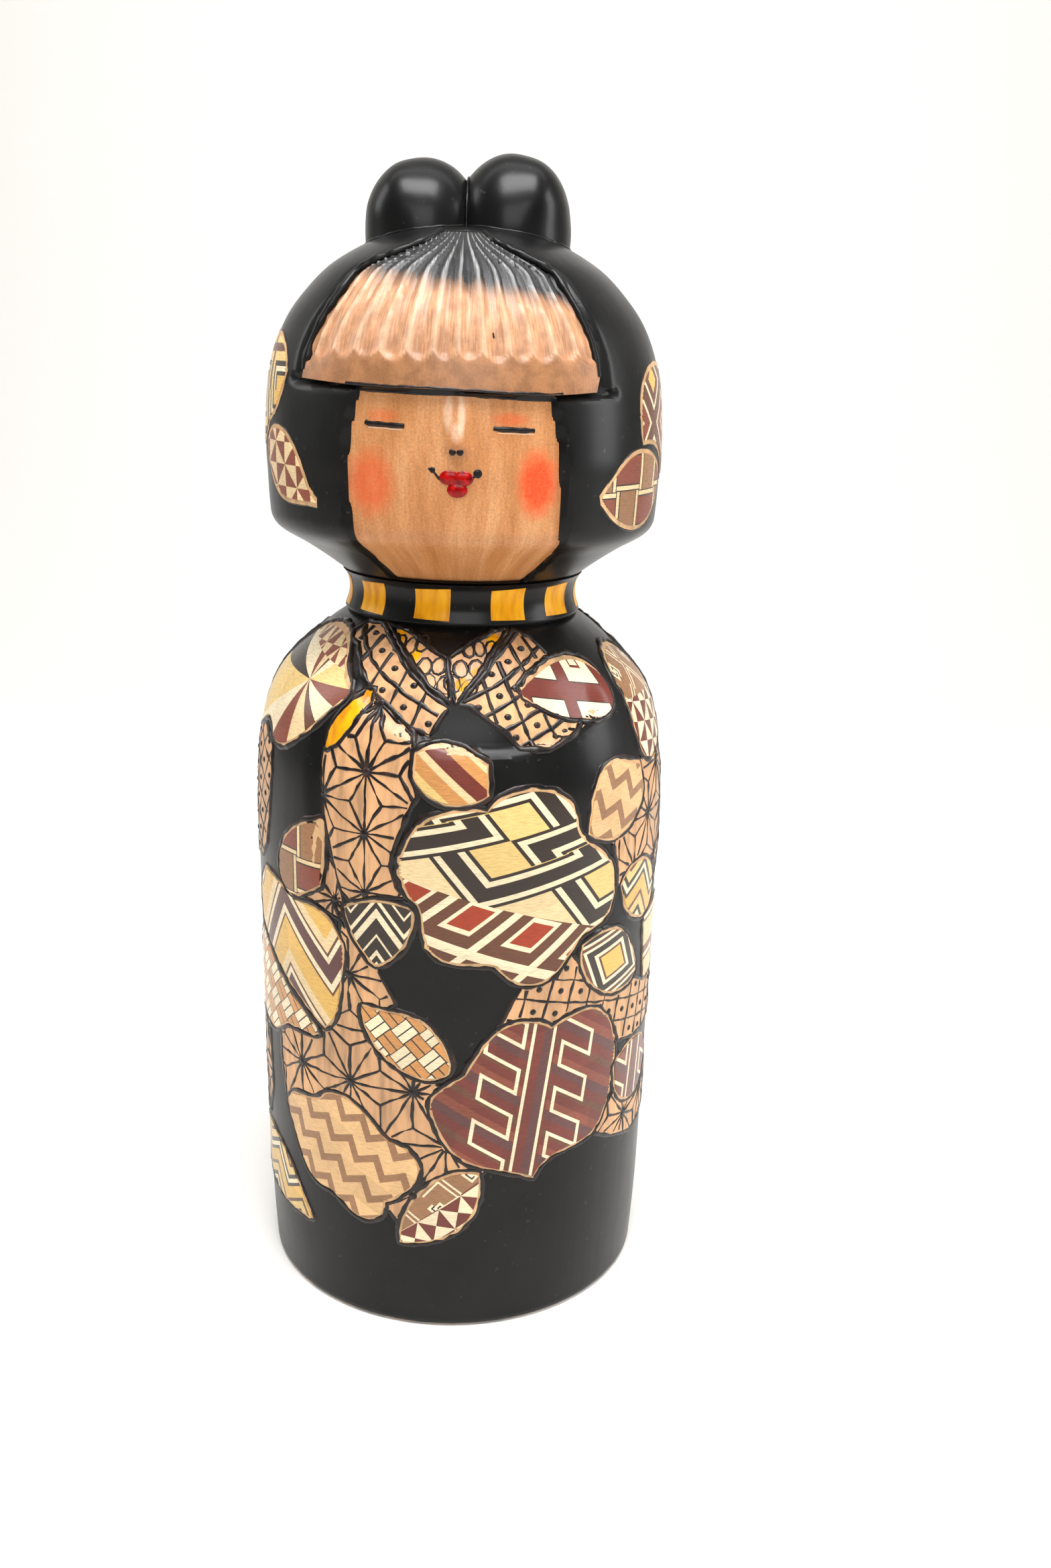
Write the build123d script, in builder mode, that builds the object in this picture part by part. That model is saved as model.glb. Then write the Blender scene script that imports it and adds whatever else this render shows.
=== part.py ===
from build123d import *
import math
import os

# A turned wooden kokeshi doll: a tapering body with rounded shoulders, a ring-shaped neck
# band, a head that turns on a hidden dowel, and two hair buns pegged to the crown. Body and
# head are let in with thin parquetry inlays. Millimetres, +Z up, the face towards -Y. The
# origin is the middle of the base. "Left" and "right" are those of a person facing the doll.

# ---- driving dimensions ----
BASE_RADIUS = 36.9
BASE_CHAMFER = 0.6
BODY_TOP = 130.5  # where the shoulders end under the neck band
BODY_TOP_RADIUS = 21.2
BAND_TOP = 138.1
TURNING_GAP = 0.3  # air between the neck band and the underside of the head
HEAD_BASE = BAND_TOP + TURNING_GAP
HEAD_BASE_RADIUS = 22.1
HEAD_TOP = 197.5
OVERALL_HEIGHT = 210.0

DOWEL_RADIUS = 8.0
RUNNING_CLEARANCE = 0.06  # radial, so that the dowel turns in the body
DOWEL_FOOT = 112.0
DOWEL_HEAD = 154.0
HOLE_END_ROOM = 1.0  # spare depth under and over the dowel
DOWEL_CHAMFER = 0.8
SPIGOT_RADIUS = 12.0  # the step on the body that the neck band is glued over

BUN_HEIGHT = 196.6  # of the middle of a bun
BUN_CENTRE = (7.6, 3.5, BUN_HEIGHT)
BUN_HALF_SIZE = (10.6, 11.6, OVERALL_HEIGHT - BUN_HEIGHT)
BUN_PEG_RADIUS = 2.0
BUN_PEG_SPAN = (186.0, 203.0)
BUN_PEG_PLACE = (8.0, 3.5)

INLAY_DEPTH = 2.0
FACE_DEPTH = 1.3
REACH = 45.0  # longer than any radius of the doll

# Turned curves as (radius, height)
BAND_CURVE = [(21.5, 131.5), (21.0, 133.5), (20.9, 135.5), (HEAD_BASE_RADIUS, BAND_TOP)]
BODY_CURVE = [
    (BASE_RADIUS, 0),
    (37.8, 20),
    (38.4, 70),
    (38.5, 96),
    (37.4, 109),
    (33.8, 119),
    (26.0, 127),
    (BODY_TOP_RADIUS, BODY_TOP),
]
HEAD_CURVE = [
    (34.5, 145.8),
    (35.1, 150),
    (35.5, 161),
    (34.7, 172),
    (32.3, 180),
    (28.3, 186),
    (22.3, 191.5),
    (12.6, 196),
    (0, HEAD_TOP),
]

# Outlines of the inlays as (azimuth in degrees, height). Azimuth 0 is the front, and it grows
# to the right. Each inner list starts at a sharp corner and runs smoothly to the next one.
BODY_INLAYS = {
    "shoulder_star_left": [
        [(-32, 120.3), (-40, 115.6), (-50, 110.6), (-57, 109)],
        [(-62, 109.6), (-67, 112.3), (-76, 110.6)],
        [(-85, 109), (-88, 118)],
        [(-80, 126.5), (-64, 128.3), (-48, 126.8), (-39, 123)],
    ],
    "elbow_basket_left": [
        [(-37, 97.5), (-46, 95.2), (-52.5, 91), (-54.3, 86), (-51, 82.6), (-44, 83.3)],
        [(-37, 86)],
    ],
    "sleeve_stripe": [
        [(-28.5, 83), (-19, 85.1)],
        [(-9.8, 84.4), (-10.3, 80.5), (-14, 76)],
        [(-19.5, 73.5), (-24.5, 77)],
    ],
    "hip_chevron": [
        [(-65, 83.6), (-55, 82.6), (-46, 81.2), (-38, 81), (-30.8, 77), (-30.5, 69), (-33, 61)],
        [(-36, 58.8)],
        [(-70, 72.3), (-71.5, 79)],
    ],
    "hip_herringbone": [
        [(-38, 57.2)],
        [(-71, 70.6), (-81, 63)],
        [(-82, 54), (-70, 52.4), (-60, 52.7), (-54, 55.4), (-46, 56)],
    ],
    "heart_fret": [
        [(9.5, 102.3), (3, 102.4), (-5, 100.8), (-11, 96), (-12, 90)],
        [(-8.4, 86), (-6.3, 82), (-4.6, 77.5), (-1, 75.6), (6, 75)],
        [(13, 74.2), (18, 71), (23, 70.2), (30, 72.4), (36, 77.2)],
        [(42, 78.8), (47.3, 82), (48.3, 86.5), (43.5, 92), (36.4, 95.6)],
        [(34, 99.5), (29, 104.2), (20, 105.5), (13.5, 104.4)],
    ],
    "breast_cross": [
        [
            (20.5, 121.3),
            (28, 123.6),
            (38, 125.2),
            (48, 124.9),
            (54.5, 121.5),
            (53, 118),
            (44, 116.2),
            (32, 117.4),
        ],
    ],
    "shoulder_spiral_right": [
        [(60.5, 121), (66, 124.4), (74, 125.4)],
        [(84, 124), (88, 117), (86, 111), (78, 108)],
        [(71, 106.8), (65, 107.2), (61.3, 112)],
    ],
    "sleeve_zigzag": [
        [(38.6, 96.7), (45, 94.8), (54, 95.8)],
        [(61, 99.5), (61.6, 103)],
        [(60, 106.4), (55, 107.2), (48, 108.1)],
        [(42, 106), (39.6, 101.5)],
    ],
    "waist_chevron_right": [
        [(52, 84.5), (57, 87.2), (66, 87)],
        [(74, 80.5), (70, 76.6), (62, 76.8)],
        [(54.5, 80.5)],
    ],
    "hip_meander_right": [
        [(38, 75.4), (45, 76.7), (52, 76)],
        [(58, 72), (61.5, 65.2)],
        [(54, 64), (46, 65.3), (39.8, 69.3)],
    ],
    "side_panel_right": [
        [(67, 75.2), (78, 76.2)],
        [(88, 75), (90.5, 66)],
        [(84, 62)],
        [(70, 62.3)],
    ],
    "waist_herringbone": [
        [(-23.8, 65), (-16, 64.5), (-8, 63.5), (-2.5, 60)],
        [(0.4, 55), (-1, 53.2), (-6, 52.6), (-13, 54.2), (-20, 58.3)],
    ],
    "lap_fret": [
        [(5, 53.2), (9, 57.8), (14, 61.5), (20, 62.7), (25, 62)],
        [(28.5, 60.6), (35, 62), (42, 62.2), (49, 58.5), (52, 53.5)],
        [(51, 47.3), (50, 42), (44, 36.6), (34, 35.4)],
        [(24.5, 31.2), (14, 33.9), (5, 36.3), (-2.5, 43), (-3.5, 48.4), (0.5, 50.9)],
    ],
    "knee_fret_right": [
        [(53.4, 48.4), (60, 50.4), (70, 50)],
        [(77.5, 45), (73, 39.5), (64, 38.6)],
        [(54.4, 43.2)],
    ],
    "hem_zigzag_left": [
        [(-54.5, 38.5), (-50, 41.4), (-42, 42.5)],
        [(-36.5, 44.8), (-28, 45.1), (-20.5, 41.5)],
        [(-17, 38.8), (-10, 36.7), (-7.8, 33.5), (-11.5, 29.2)],
        [(-18, 26.3), (-20, 22.6), (-25, 21.8), (-31, 24)],
        [(-36, 25.4), (-43, 26.5), (-49, 32)],
    ],
    "hem_leaf": [
        [(-12.5, 18.3), (-3, 19.5), (4.5, 22.5), (8.5, 28)],
        [(8.6, 33), (1, 32.8), (-6, 29.5), (-10.5, 25)],
    ],
    "hem_chevron_left": [
        [(-43.5, 16.6), (-49, 21.4), (-55, 25.6), (-64, 28.3)],
        [(-80, 27), (-84, 22)],
        [(-78, 18), (-64, 16.5)],
    ],
    "sash_block": [
        [(-9.3, 111.8), (-4, 112.9), (4, 111.9)],
        [(9.3, 110.2)],
        [(9.3, 105.2), (3, 103.8), (-4, 104.6)],
        [(-9.3, 108)],
    ],
}
HEAD_INLAYS = {
    "temple_fret_left": [
        [(-58, 171.5), (-60.5, 175.5), (-68, 178), (-82, 178.3), (-96, 175)],
        [(-103, 169), (-96, 162.5), (-84, 160.5), (-75, 162)],
        [(-69.5, 164.8), (-63, 167.2)],
    ],
    "cheek_leaf_left": [
        [(-41.5, 151.9), (-46, 155), (-50, 159.4), (-57, 162.7), (-64, 163.2)],
        [(-70, 160.8), (-67, 156), (-60, 152.7), (-50, 152)],
    ],
    "temple_diamond_right": [
        [(61.5, 162.8), (60.8, 167), (63.5, 172.5), (70, 174.6), (84, 174.4)],
        [(98, 169), (95, 160), (86, 156.3)],
        [(79.5, 158.2), (74, 161.6), (67, 162.9)],
    ],
    "cheek_leaf_right": [
        [(42.8, 154), (48, 157.2), (55, 160.2), (64, 160.6)],
        [(71, 159), (76, 155.3), (71, 151), (62, 148.7), (53, 149.3)],
    ],
}
# Inlays on the far side that repeat an outline, turned about the doll's axis:
# name, outline, turn in degrees
BODY_REPEATS = [
    ("back_shoulder_star", "shoulder_star_left", 180),
    ("back_elbow_basket", "elbow_basket_left", 180),
    ("back_sleeve_stripe", "sleeve_stripe", 180),
    ("back_hip_chevron", "hip_chevron", 180),
    ("back_heart_fret", "heart_fret", 180),
    ("back_breast_cross", "breast_cross", 180),
    ("back_shoulder_spiral", "shoulder_spiral_right", 180),
    ("back_sleeve_zigzag", "sleeve_zigzag", 180),
    ("back_waist_herringbone", "waist_herringbone", 180),
    ("back_lap_fret", "lap_fret", 180),
    ("back_hem_zigzag", "hem_zigzag_left", 180),
    ("back_hem_leaf", "hem_leaf", 180),
    ("back_hem_chevron", "hem_chevron_left", 180),
]
HEAD_REPEATS = [
    ("nape_leaf_left", "cheek_leaf_left", -68),
    ("nape_leaf_right", "cheek_leaf_right", 65),
    ("nape_diamond", "temple_diamond_right", 104),
]
FACE_OUTLINE = [
    [(-27, 170.8)],
    [(25.5, 169.8), (27.5, 162), (29, 153), (28.5, 147)],
    [(33, HEAD_BASE)],
    [(-30, HEAD_BASE)],
    [(-27.5, 147), (-30.5, 154), (-29, 163)],
]

os.makedirs("parts", exist_ok=True)


def save(piece, name):
    """Labels a finished piece and writes it as one STEP file."""
    piece.label = name
    export_step(piece, f"parts/{name}.step")


def turned_body(inset):
    """The body's turned shape, its side moved in by inset."""
    side = [(radius - inset, height) for radius, height in BODY_CURVE]
    with BuildPart() as turned:
        with BuildSketch(Plane.XZ):
            with BuildLine():
                Spline(*side)
                Polyline(side[-1], (0, BODY_TOP), (0, 0), side[0])
            make_face()
        revolve(axis=Axis.Z)
    return turned.part


def turned_head(inset):
    """The head's turned shape: a short cone under a tall dome, its side moved in by inset."""
    side = [(radius - inset, height) for radius, height in HEAD_CURVE[:-1]]
    crown = (0, HEAD_TOP - inset)
    foot = (HEAD_BASE_RADIUS - inset, HEAD_BASE)
    with BuildPart() as turned:
        with BuildSketch(Plane.XZ):
            with BuildLine():
                Spline(*side, crown, tangents=[(0.12, 1), (-1, 0)])
                Polyline(crown, (0, HEAD_BASE), foot, side[0])
            make_face()
        revolve(axis=Axis.Z)
    return turned.part


def radius_at(curve, height):
    """Radius of a turned curve at a height, straight between the points of the curve."""
    for (low_radius, low), (high_radius, high) in zip(curve, curve[1:]):
        if height <= high:
            break
    share = (height - low) / (high - low)
    return low_radius + share * (high_radius - low_radius)


def facing_plane(azimuth):
    """The upright plane through the doll's axis that faces an azimuth."""
    turn = math.radians(azimuth)
    outward = (math.sin(turn), -math.cos(turn), 0)
    return Plane(origin=(0, 0, 0), x_dir=(math.cos(turn), math.sin(turn), 0), z_dir=outward)


def recess(curve, core, outline, turn=0):
    """The room for an inlay: its outline driven straight in as far as the core."""
    azimuths = [azimuth for stretch in outline for azimuth, height in stretch]
    middle = (min(azimuths) + max(azimuths)) / 2
    flat = [
        [
            (radius_at(curve, height) * math.sin(math.radians(azimuth - middle)), height)
            for azimuth, height in stretch
        ]
        for stretch in outline
    ]
    with BuildPart() as room:
        with BuildSketch(facing_plane(middle + turn)):
            with BuildLine():
                for stretch, following in zip(flat, flat[1:] + flat[:1]):
                    if len(stretch) > 1:
                        Spline(*stretch, following[0])
                    else:
                        Line(stretch[0], following[0])
            make_face()
        extrude(amount=REACH)
        add(core, mode=Mode.SUBTRACT)
    return room.part


def recesses(curve, core, outlines, repeats):
    """All the rooms for a turned piece's inlays, by the name of the inlay."""
    rooms = {name: recess(curve, core, outline) for name, outline in outlines.items()}
    for name, source, turn in repeats:
        rooms[name] = recess(curve, core, outlines[source], turn)
    return rooms


def save_inlays(rooms, blank):
    """Fills each room with an inlay that ends flush with the turned surface."""
    for name, room in rooms.items():
        with BuildPart() as inlay:
            add(room)
            add(blank, mode=Mode.INTERSECT)
        save(inlay.part, name)


# ---- the body: one turned block with its inlays ----
body_blank = turned_body(0)
body_rooms = recesses(BODY_CURVE, turned_body(INLAY_DEPTH), BODY_INLAYS, BODY_REPEATS)
save_inlays(body_rooms, body_blank)

with BuildPart() as body_block:
    add(body_blank)
    chamfer(body_block.edges().sort_by(Axis.Z)[0], BASE_CHAMFER)
    with BuildSketch(Plane.XY.offset(BODY_TOP)):
        Circle(SPIGOT_RADIUS)
    extrude(amount=BAND_TOP - BODY_TOP)
    with BuildSketch(Plane.XY.offset(DOWEL_FOOT - HOLE_END_ROOM)):
        Circle(DOWEL_RADIUS + RUNNING_CLEARANCE)
    extrude(amount=REACH, mode=Mode.SUBTRACT)
    for room in body_rooms.values():
        add(room, mode=Mode.SUBTRACT)
save(body_block.part, "body_block")

# ---- the neck band: a ring with a foot lip, a waist and a flare, glued over the spigot ----
with BuildPart() as neck_band:
    with BuildSketch(Plane.XZ):
        with BuildLine():
            Spline(*BAND_CURVE)
            Polyline(
                BAND_CURVE[-1],
                (SPIGOT_RADIUS, BAND_TOP),
                (SPIGOT_RADIUS, BODY_TOP),
                (BODY_TOP_RADIUS, BODY_TOP),
                BAND_CURVE[0],
            )
        make_face()
    revolve(axis=Axis.Z)
save(neck_band.part, "neck_band")

# ---- the dowel: glued into the head, it turns in the body's hole ----
with BuildPart() as neck_dowel:
    with BuildSketch(Plane.XY.offset(DOWEL_FOOT)):
        Circle(DOWEL_RADIUS)
    extrude(amount=DOWEL_HEAD - DOWEL_FOOT)
    chamfer(neck_dowel.edges().filter_by(GeomType.CIRCLE), DOWEL_CHAMFER)
save(neck_dowel.part, "neck_dowel")

# ---- the head: one turned block with a carved face, its inlays and the holes for its pegs ----
head_blank = turned_head(0)
head_rooms = recesses(HEAD_CURVE, turned_head(INLAY_DEPTH), HEAD_INLAYS, HEAD_REPEATS)
save_inlays(head_rooms, head_blank)
FACE_SIDE = [(HEAD_BASE_RADIUS, HEAD_BASE), *HEAD_CURVE]
face_room = recess(FACE_SIDE, turned_head(FACE_DEPTH), FACE_OUTLINE)

with BuildPart() as head_block:
    add(head_blank)
    with BuildSketch(Plane.XY.offset(HEAD_BASE)):
        Circle(DOWEL_RADIUS)
    extrude(amount=DOWEL_HEAD + HOLE_END_ROOM - HEAD_BASE, mode=Mode.SUBTRACT)
    with BuildSketch(Plane.XY.offset(BUN_PEG_SPAN[0])):
        with Locations(BUN_PEG_PLACE, (-BUN_PEG_PLACE[0], BUN_PEG_PLACE[1])):
            Circle(BUN_PEG_RADIUS)
    extrude(amount=REACH, mode=Mode.SUBTRACT)
    add(face_room, mode=Mode.SUBTRACT)
    for room in head_rooms.values():
        add(room, mode=Mode.SUBTRACT)
save(head_block.part, "head_block")

# ---- two buns: egg shapes hollowed to sit on the dome, flat where they meet, each on a peg ----
egg = scale(Sphere(1), by=BUN_HALF_SIZE)
for side, name in ((-1, "left"), (1, "right")):
    with BuildPart() as bun:
        with Locations((side * BUN_CENTRE[0], BUN_CENTRE[1], BUN_CENTRE[2])):
            add(egg)
        split(bisect_by=Plane.YZ, keep=Keep.TOP if side > 0 else Keep.BOTTOM)
        add(head_blank, mode=Mode.SUBTRACT)
        with BuildSketch(Plane.XY.offset(BUN_PEG_SPAN[0])):
            with Locations((side * BUN_PEG_PLACE[0], BUN_PEG_PLACE[1])):
                Circle(BUN_PEG_RADIUS)
        extrude(amount=BUN_PEG_SPAN[1] - BUN_PEG_SPAN[0], mode=Mode.SUBTRACT)
    save(bun.part, f"{name}_bun")

    with BuildPart() as bun_peg:
        with BuildSketch(Plane.XY.offset(BUN_PEG_SPAN[0])):
            with Locations((side * BUN_PEG_PLACE[0], BUN_PEG_PLACE[1])):
                Circle(BUN_PEG_RADIUS)
        extrude(amount=BUN_PEG_SPAN[1] - BUN_PEG_SPAN[0])
    save(bun_peg.part, f"{name}_bun_peg")
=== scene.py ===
import math

import bpy
from mathutils import Matrix, Vector, noise


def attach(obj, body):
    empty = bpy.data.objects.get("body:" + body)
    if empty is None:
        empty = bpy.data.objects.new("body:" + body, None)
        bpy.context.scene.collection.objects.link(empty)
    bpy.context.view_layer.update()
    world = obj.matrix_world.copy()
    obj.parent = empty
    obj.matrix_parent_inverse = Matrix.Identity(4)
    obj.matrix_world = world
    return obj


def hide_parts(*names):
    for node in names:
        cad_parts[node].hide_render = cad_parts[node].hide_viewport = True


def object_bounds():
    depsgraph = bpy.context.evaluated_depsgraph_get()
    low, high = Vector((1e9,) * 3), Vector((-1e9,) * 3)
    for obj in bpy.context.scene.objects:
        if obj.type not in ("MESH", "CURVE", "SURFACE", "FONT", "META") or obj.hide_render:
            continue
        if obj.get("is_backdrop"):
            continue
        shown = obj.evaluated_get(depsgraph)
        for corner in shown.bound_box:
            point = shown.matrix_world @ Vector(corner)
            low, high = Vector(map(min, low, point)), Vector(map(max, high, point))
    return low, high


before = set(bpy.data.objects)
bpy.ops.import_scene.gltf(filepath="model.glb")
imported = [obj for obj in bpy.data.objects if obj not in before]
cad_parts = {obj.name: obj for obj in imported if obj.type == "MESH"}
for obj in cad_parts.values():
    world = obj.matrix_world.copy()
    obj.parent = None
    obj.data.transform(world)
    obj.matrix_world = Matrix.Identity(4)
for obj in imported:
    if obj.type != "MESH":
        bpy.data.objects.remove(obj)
cad_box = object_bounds()

# ---------------------------------------------------------------------------------------
# The table: a white sheet that runs back and up behind the doll, a wide soft light
# overhead, softer ones from each side, the front and above the sheet, and a lens a
# little below the doll's crown that dips towards its waist.
# ---------------------------------------------------------------------------------------
MM = 0.001
LENS_DISTANCE = 0.2745
LENS_HEIGHT = 0.1786
LENS_AZIMUTH = 2.4
LENS_PAN = 2.65
LENS_DIP = 16.72
LENS_ROLL = 1.53

bpy.ops.object.camera_add()
camera = bpy.context.object
camera.name = "camera"
camera.data.sensor_fit = "VERTICAL"
camera.data.sensor_height = 36
camera.data.lens = 33.86
camera.data.clip_start = 0.01
camera_place = Matrix.Translation(
    (
        LENS_DISTANCE * math.sin(math.radians(LENS_AZIMUTH)),
        -LENS_DISTANCE * math.cos(math.radians(LENS_AZIMUTH)),
        LENS_HEIGHT,
    )
)
camera_aim = (
    Matrix.Rotation(math.radians(LENS_AZIMUTH - LENS_PAN), 4, "Z")
    @ Matrix.Rotation(math.radians(90 - LENS_DIP), 4, "X")
    @ Matrix.Rotation(math.radians(LENS_ROLL), 4, "Z")
)
camera.matrix_world = camera_place @ camera_aim
bpy.context.scene.camera = camera
bpy.context.scene.view_settings.view_transform = "Standard"

bpy.ops.object.select_all(action="DESELECT")
bpy.ops.mesh.primitive_plane_add(size=3.0)
floor = bpy.context.object
floor.name = "floor"
bpy.ops.object.mode_set(mode="EDIT")
bpy.ops.mesh.select_mode(type="EDGE")
bpy.ops.mesh.select_all(action="DESELECT")
bpy.ops.object.mode_set(mode="OBJECT")
for edge in floor.data.edges:
    edge.select = all(floor.data.vertices[v].co.y > 0 for v in edge.vertices)
bpy.ops.object.mode_set(mode="EDIT")
bpy.ops.mesh.extrude_region_move(TRANSFORM_OT_translate={"value": (0, 0, 1.5)})
bpy.ops.object.mode_set(mode="OBJECT")
for vertex in floor.data.vertices:
    if vertex.co.y > 0:
        vertex.co.y = 0.75
bpy.ops.object.modifier_add(type="BEVEL")
floor.modifiers[-1].width = 0.3
floor.modifiers[-1].segments = 12
bpy.ops.object.modifier_apply(modifier=floor.modifiers[-1].name)
bpy.ops.object.shade_smooth()
sheet_white = bpy.data.materials.new("table_white")
sheet_white.use_nodes = True
sheet_white.node_tree.nodes["Principled BSDF"].inputs["Base Color"].default_value = (0.86, 0.845, 0.815, 1)
sheet_white.node_tree.nodes["Principled BSDF"].inputs["Roughness"].default_value = 0.7
floor.data.materials.append(sheet_white)
floor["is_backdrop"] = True

world = bpy.data.worlds.new("room")
world.use_nodes = True
world.node_tree.nodes["Background"].inputs["Color"].default_value = (1.0, 0.98, 0.95, 1)
world.node_tree.nodes["Background"].inputs["Strength"].default_value = 0.2
bpy.context.scene.world = world


def soft_light(name, place, aim, size, power):
    """A square soft light at a place, turned to face a point."""
    bpy.ops.object.light_add(type="AREA", location=place)
    light = bpy.context.object
    light.name = name
    light.data.shape = "RECTANGLE"
    light.data.size, light.data.size_y = size
    light.data.energy = power
    light.rotation_euler = (Vector(aim) - Vector(place)).to_track_quat("-Z", "Y").to_euler()


soft_light("light_over", (0.02, -0.16, 0.62), (0, 0, 0.1), (0.34, 0.22), 4.4)
soft_light("light_left", (-0.58, 0.10, 0.44), (0, 0, 0.1), (0.22, 0.4), 1.3)
soft_light("light_right", (0.62, -0.04, 0.34), (0, 0, 0.1), (0.2, 0.5), 2.4)
soft_light("light_front", (0.05, -0.80, 0.55), (0, 0, 0.1), (0.6, 0.4), 3.2)
soft_light("light_sheet", (0, 0.2, 0.9), (0, 0.75, 0.3), (1.2, 0.3), 2.8)

# ---------------------------------------------------------------------------------------
# The body block: one piece of hardwood turned to a tall rounded drum, then carved: the
# breast is sunk behind the sleeves' edge and a valley parts the arms. Black lacquer is
# brushed over it in thin coats, and rubs through along the foot.
# ---------------------------------------------------------------------------------------
BODY_TOP = 130.5
BODY_CURVE = [
    (36.9, 0),
    (37.8, 20),
    (38.4, 70),
    (38.5, 96),
    (37.4, 109),
    (33.8, 119),
    (26.0, 127),
    (21.2, BODY_TOP),
]
SLEEVE_EDGE = [
    (-34, 122), (-26, 117.6), (-14, 114.6), (-4, 112.8), (10, 111.6), (24, 112.2), (38, 114.4),
    (52, 118),
]
SLEEVE_DEPTH = 1.5
ARM_VALLEY = [(-38, 117), (-38.5, 108), (-37.5, 100), (-35.5, 92), (-32, 84)]
VALLEY_DEPTH = 1.1
BODY_STEPS = 260
BODY_ROW = 0.8
SPIGOT_RADIUS = 12
SPIGOT_TOP = 138.0
BORE_RADIUS = 8.3
BORE_FLOOR = 111.8


def smooth_curve(points, steps=16):
    """Many points of a smooth curve that runs through a few."""
    padded = [points[0], *points, points[-1]]
    curve = []
    for near in zip(padded, padded[1:], padded[2:], padded[3:]):
        for step in range(steps):
            t = step / steps
            place = []
            for a, b, c, d in zip(*near):
                bend = (2 * a - 5 * b + 4 * c - d) * t**2 + (3 * b - a - 3 * c + d) * t**3
                place.append(0.5 * (2 * b + (c - a) * t + bend))
            curve.append(tuple(place))
    return [*curve, tuple(points[-1])]


def read_off(curve, place, given=1, wanted=0):
    """Where a curve with the place as its given coordinate is in its wanted coordinate."""
    for start, end in zip(curve, curve[1:]):
        if place <= end[given]:
            break
    share = (place - start[given]) / max(end[given] - start[given], 1e-9)
    return start[wanted] + min(max(share, 0), 1) * (end[wanted] - start[wanted])


def ease(value, low, high):
    """0 below low, 1 above high, and a soft rise between."""
    t = min(max((value - low) / (high - low), 0), 1)
    return t * t * (3 - 2 * t)


body_side = smooth_curve(BODY_CURVE)
sleeve_edge = smooth_curve(SLEEVE_EDGE)
arm_valley = smooth_curve(ARM_VALLEY)


def body_carving(azimuth, height):
    """How deep the knife has gone below the turned surface, in millimetres."""
    azimuth = (azimuth + 90) % 180 - 90
    edge = read_off(sleeve_edge, azimuth, 0, 1)
    across = ease(azimuth, -34, -28) * (1 - ease(azimuth, 44, 52))
    breast = SLEEVE_DEPTH * ease(height, edge - 0.2, edge + 0.9) * (1 - ease(height, 118, 126)) * across
    middle = read_off(list(reversed(arm_valley)), height, 1, 0)
    reach = ease(height, 82, 88) * (1 - ease(height, 111, 118))
    valley = VALLEY_DEPTH * reach * math.exp(-(((azimuth - middle) / 2.6) ** 2))
    return breast + valley


def round_axis(azimuth, radius, height):
    """A point beside the axis, from degrees and millimetres, in metres."""
    turn = math.radians(azimuth)
    return Vector((radius * math.sin(turn), -radius * math.cos(turn), height)) * MM


def on_body(azimuth, height, lift=0.0):
    """A point on the carved body."""
    return round_axis(azimuth, read_off(body_side, height) - body_carving(azimuth, height) + lift, height)


def turned_piece(name, outline, steps):
    """Turns a piece: its half outline is drawn point by point and spun round the axis."""
    bpy.ops.object.select_all(action="DESELECT")
    bpy.ops.mesh.primitive_plane_add(size=MM)
    piece = bpy.context.object
    piece.name = name
    bpy.ops.object.mode_set(mode="EDIT")
    bpy.ops.mesh.select_mode(type="VERT")
    bpy.ops.mesh.select_all(action="SELECT")
    bpy.ops.mesh.merge(type="CENTER")
    last = (0, 0)
    for number, (radius, height) in enumerate(outline):
        move = ((radius - last[0]) * MM, 0, (height - last[1]) * MM)
        if number:
            bpy.ops.mesh.extrude_region_move(TRANSFORM_OT_translate={"value": move})
        else:
            bpy.ops.transform.translate(value=move)
        last = (radius, height)
    bpy.ops.mesh.select_all(action="SELECT")
    bpy.ops.mesh.spin(steps=steps, angle=math.tau, center=(0, 0, 0), axis=(0, 0, 1))
    bpy.ops.mesh.select_all(action="SELECT")
    bpy.ops.mesh.remove_doubles(threshold=1e-6)
    bpy.ops.mesh.normals_make_consistent(inside=False)
    bpy.ops.object.mode_set(mode="OBJECT")
    return piece


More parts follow.
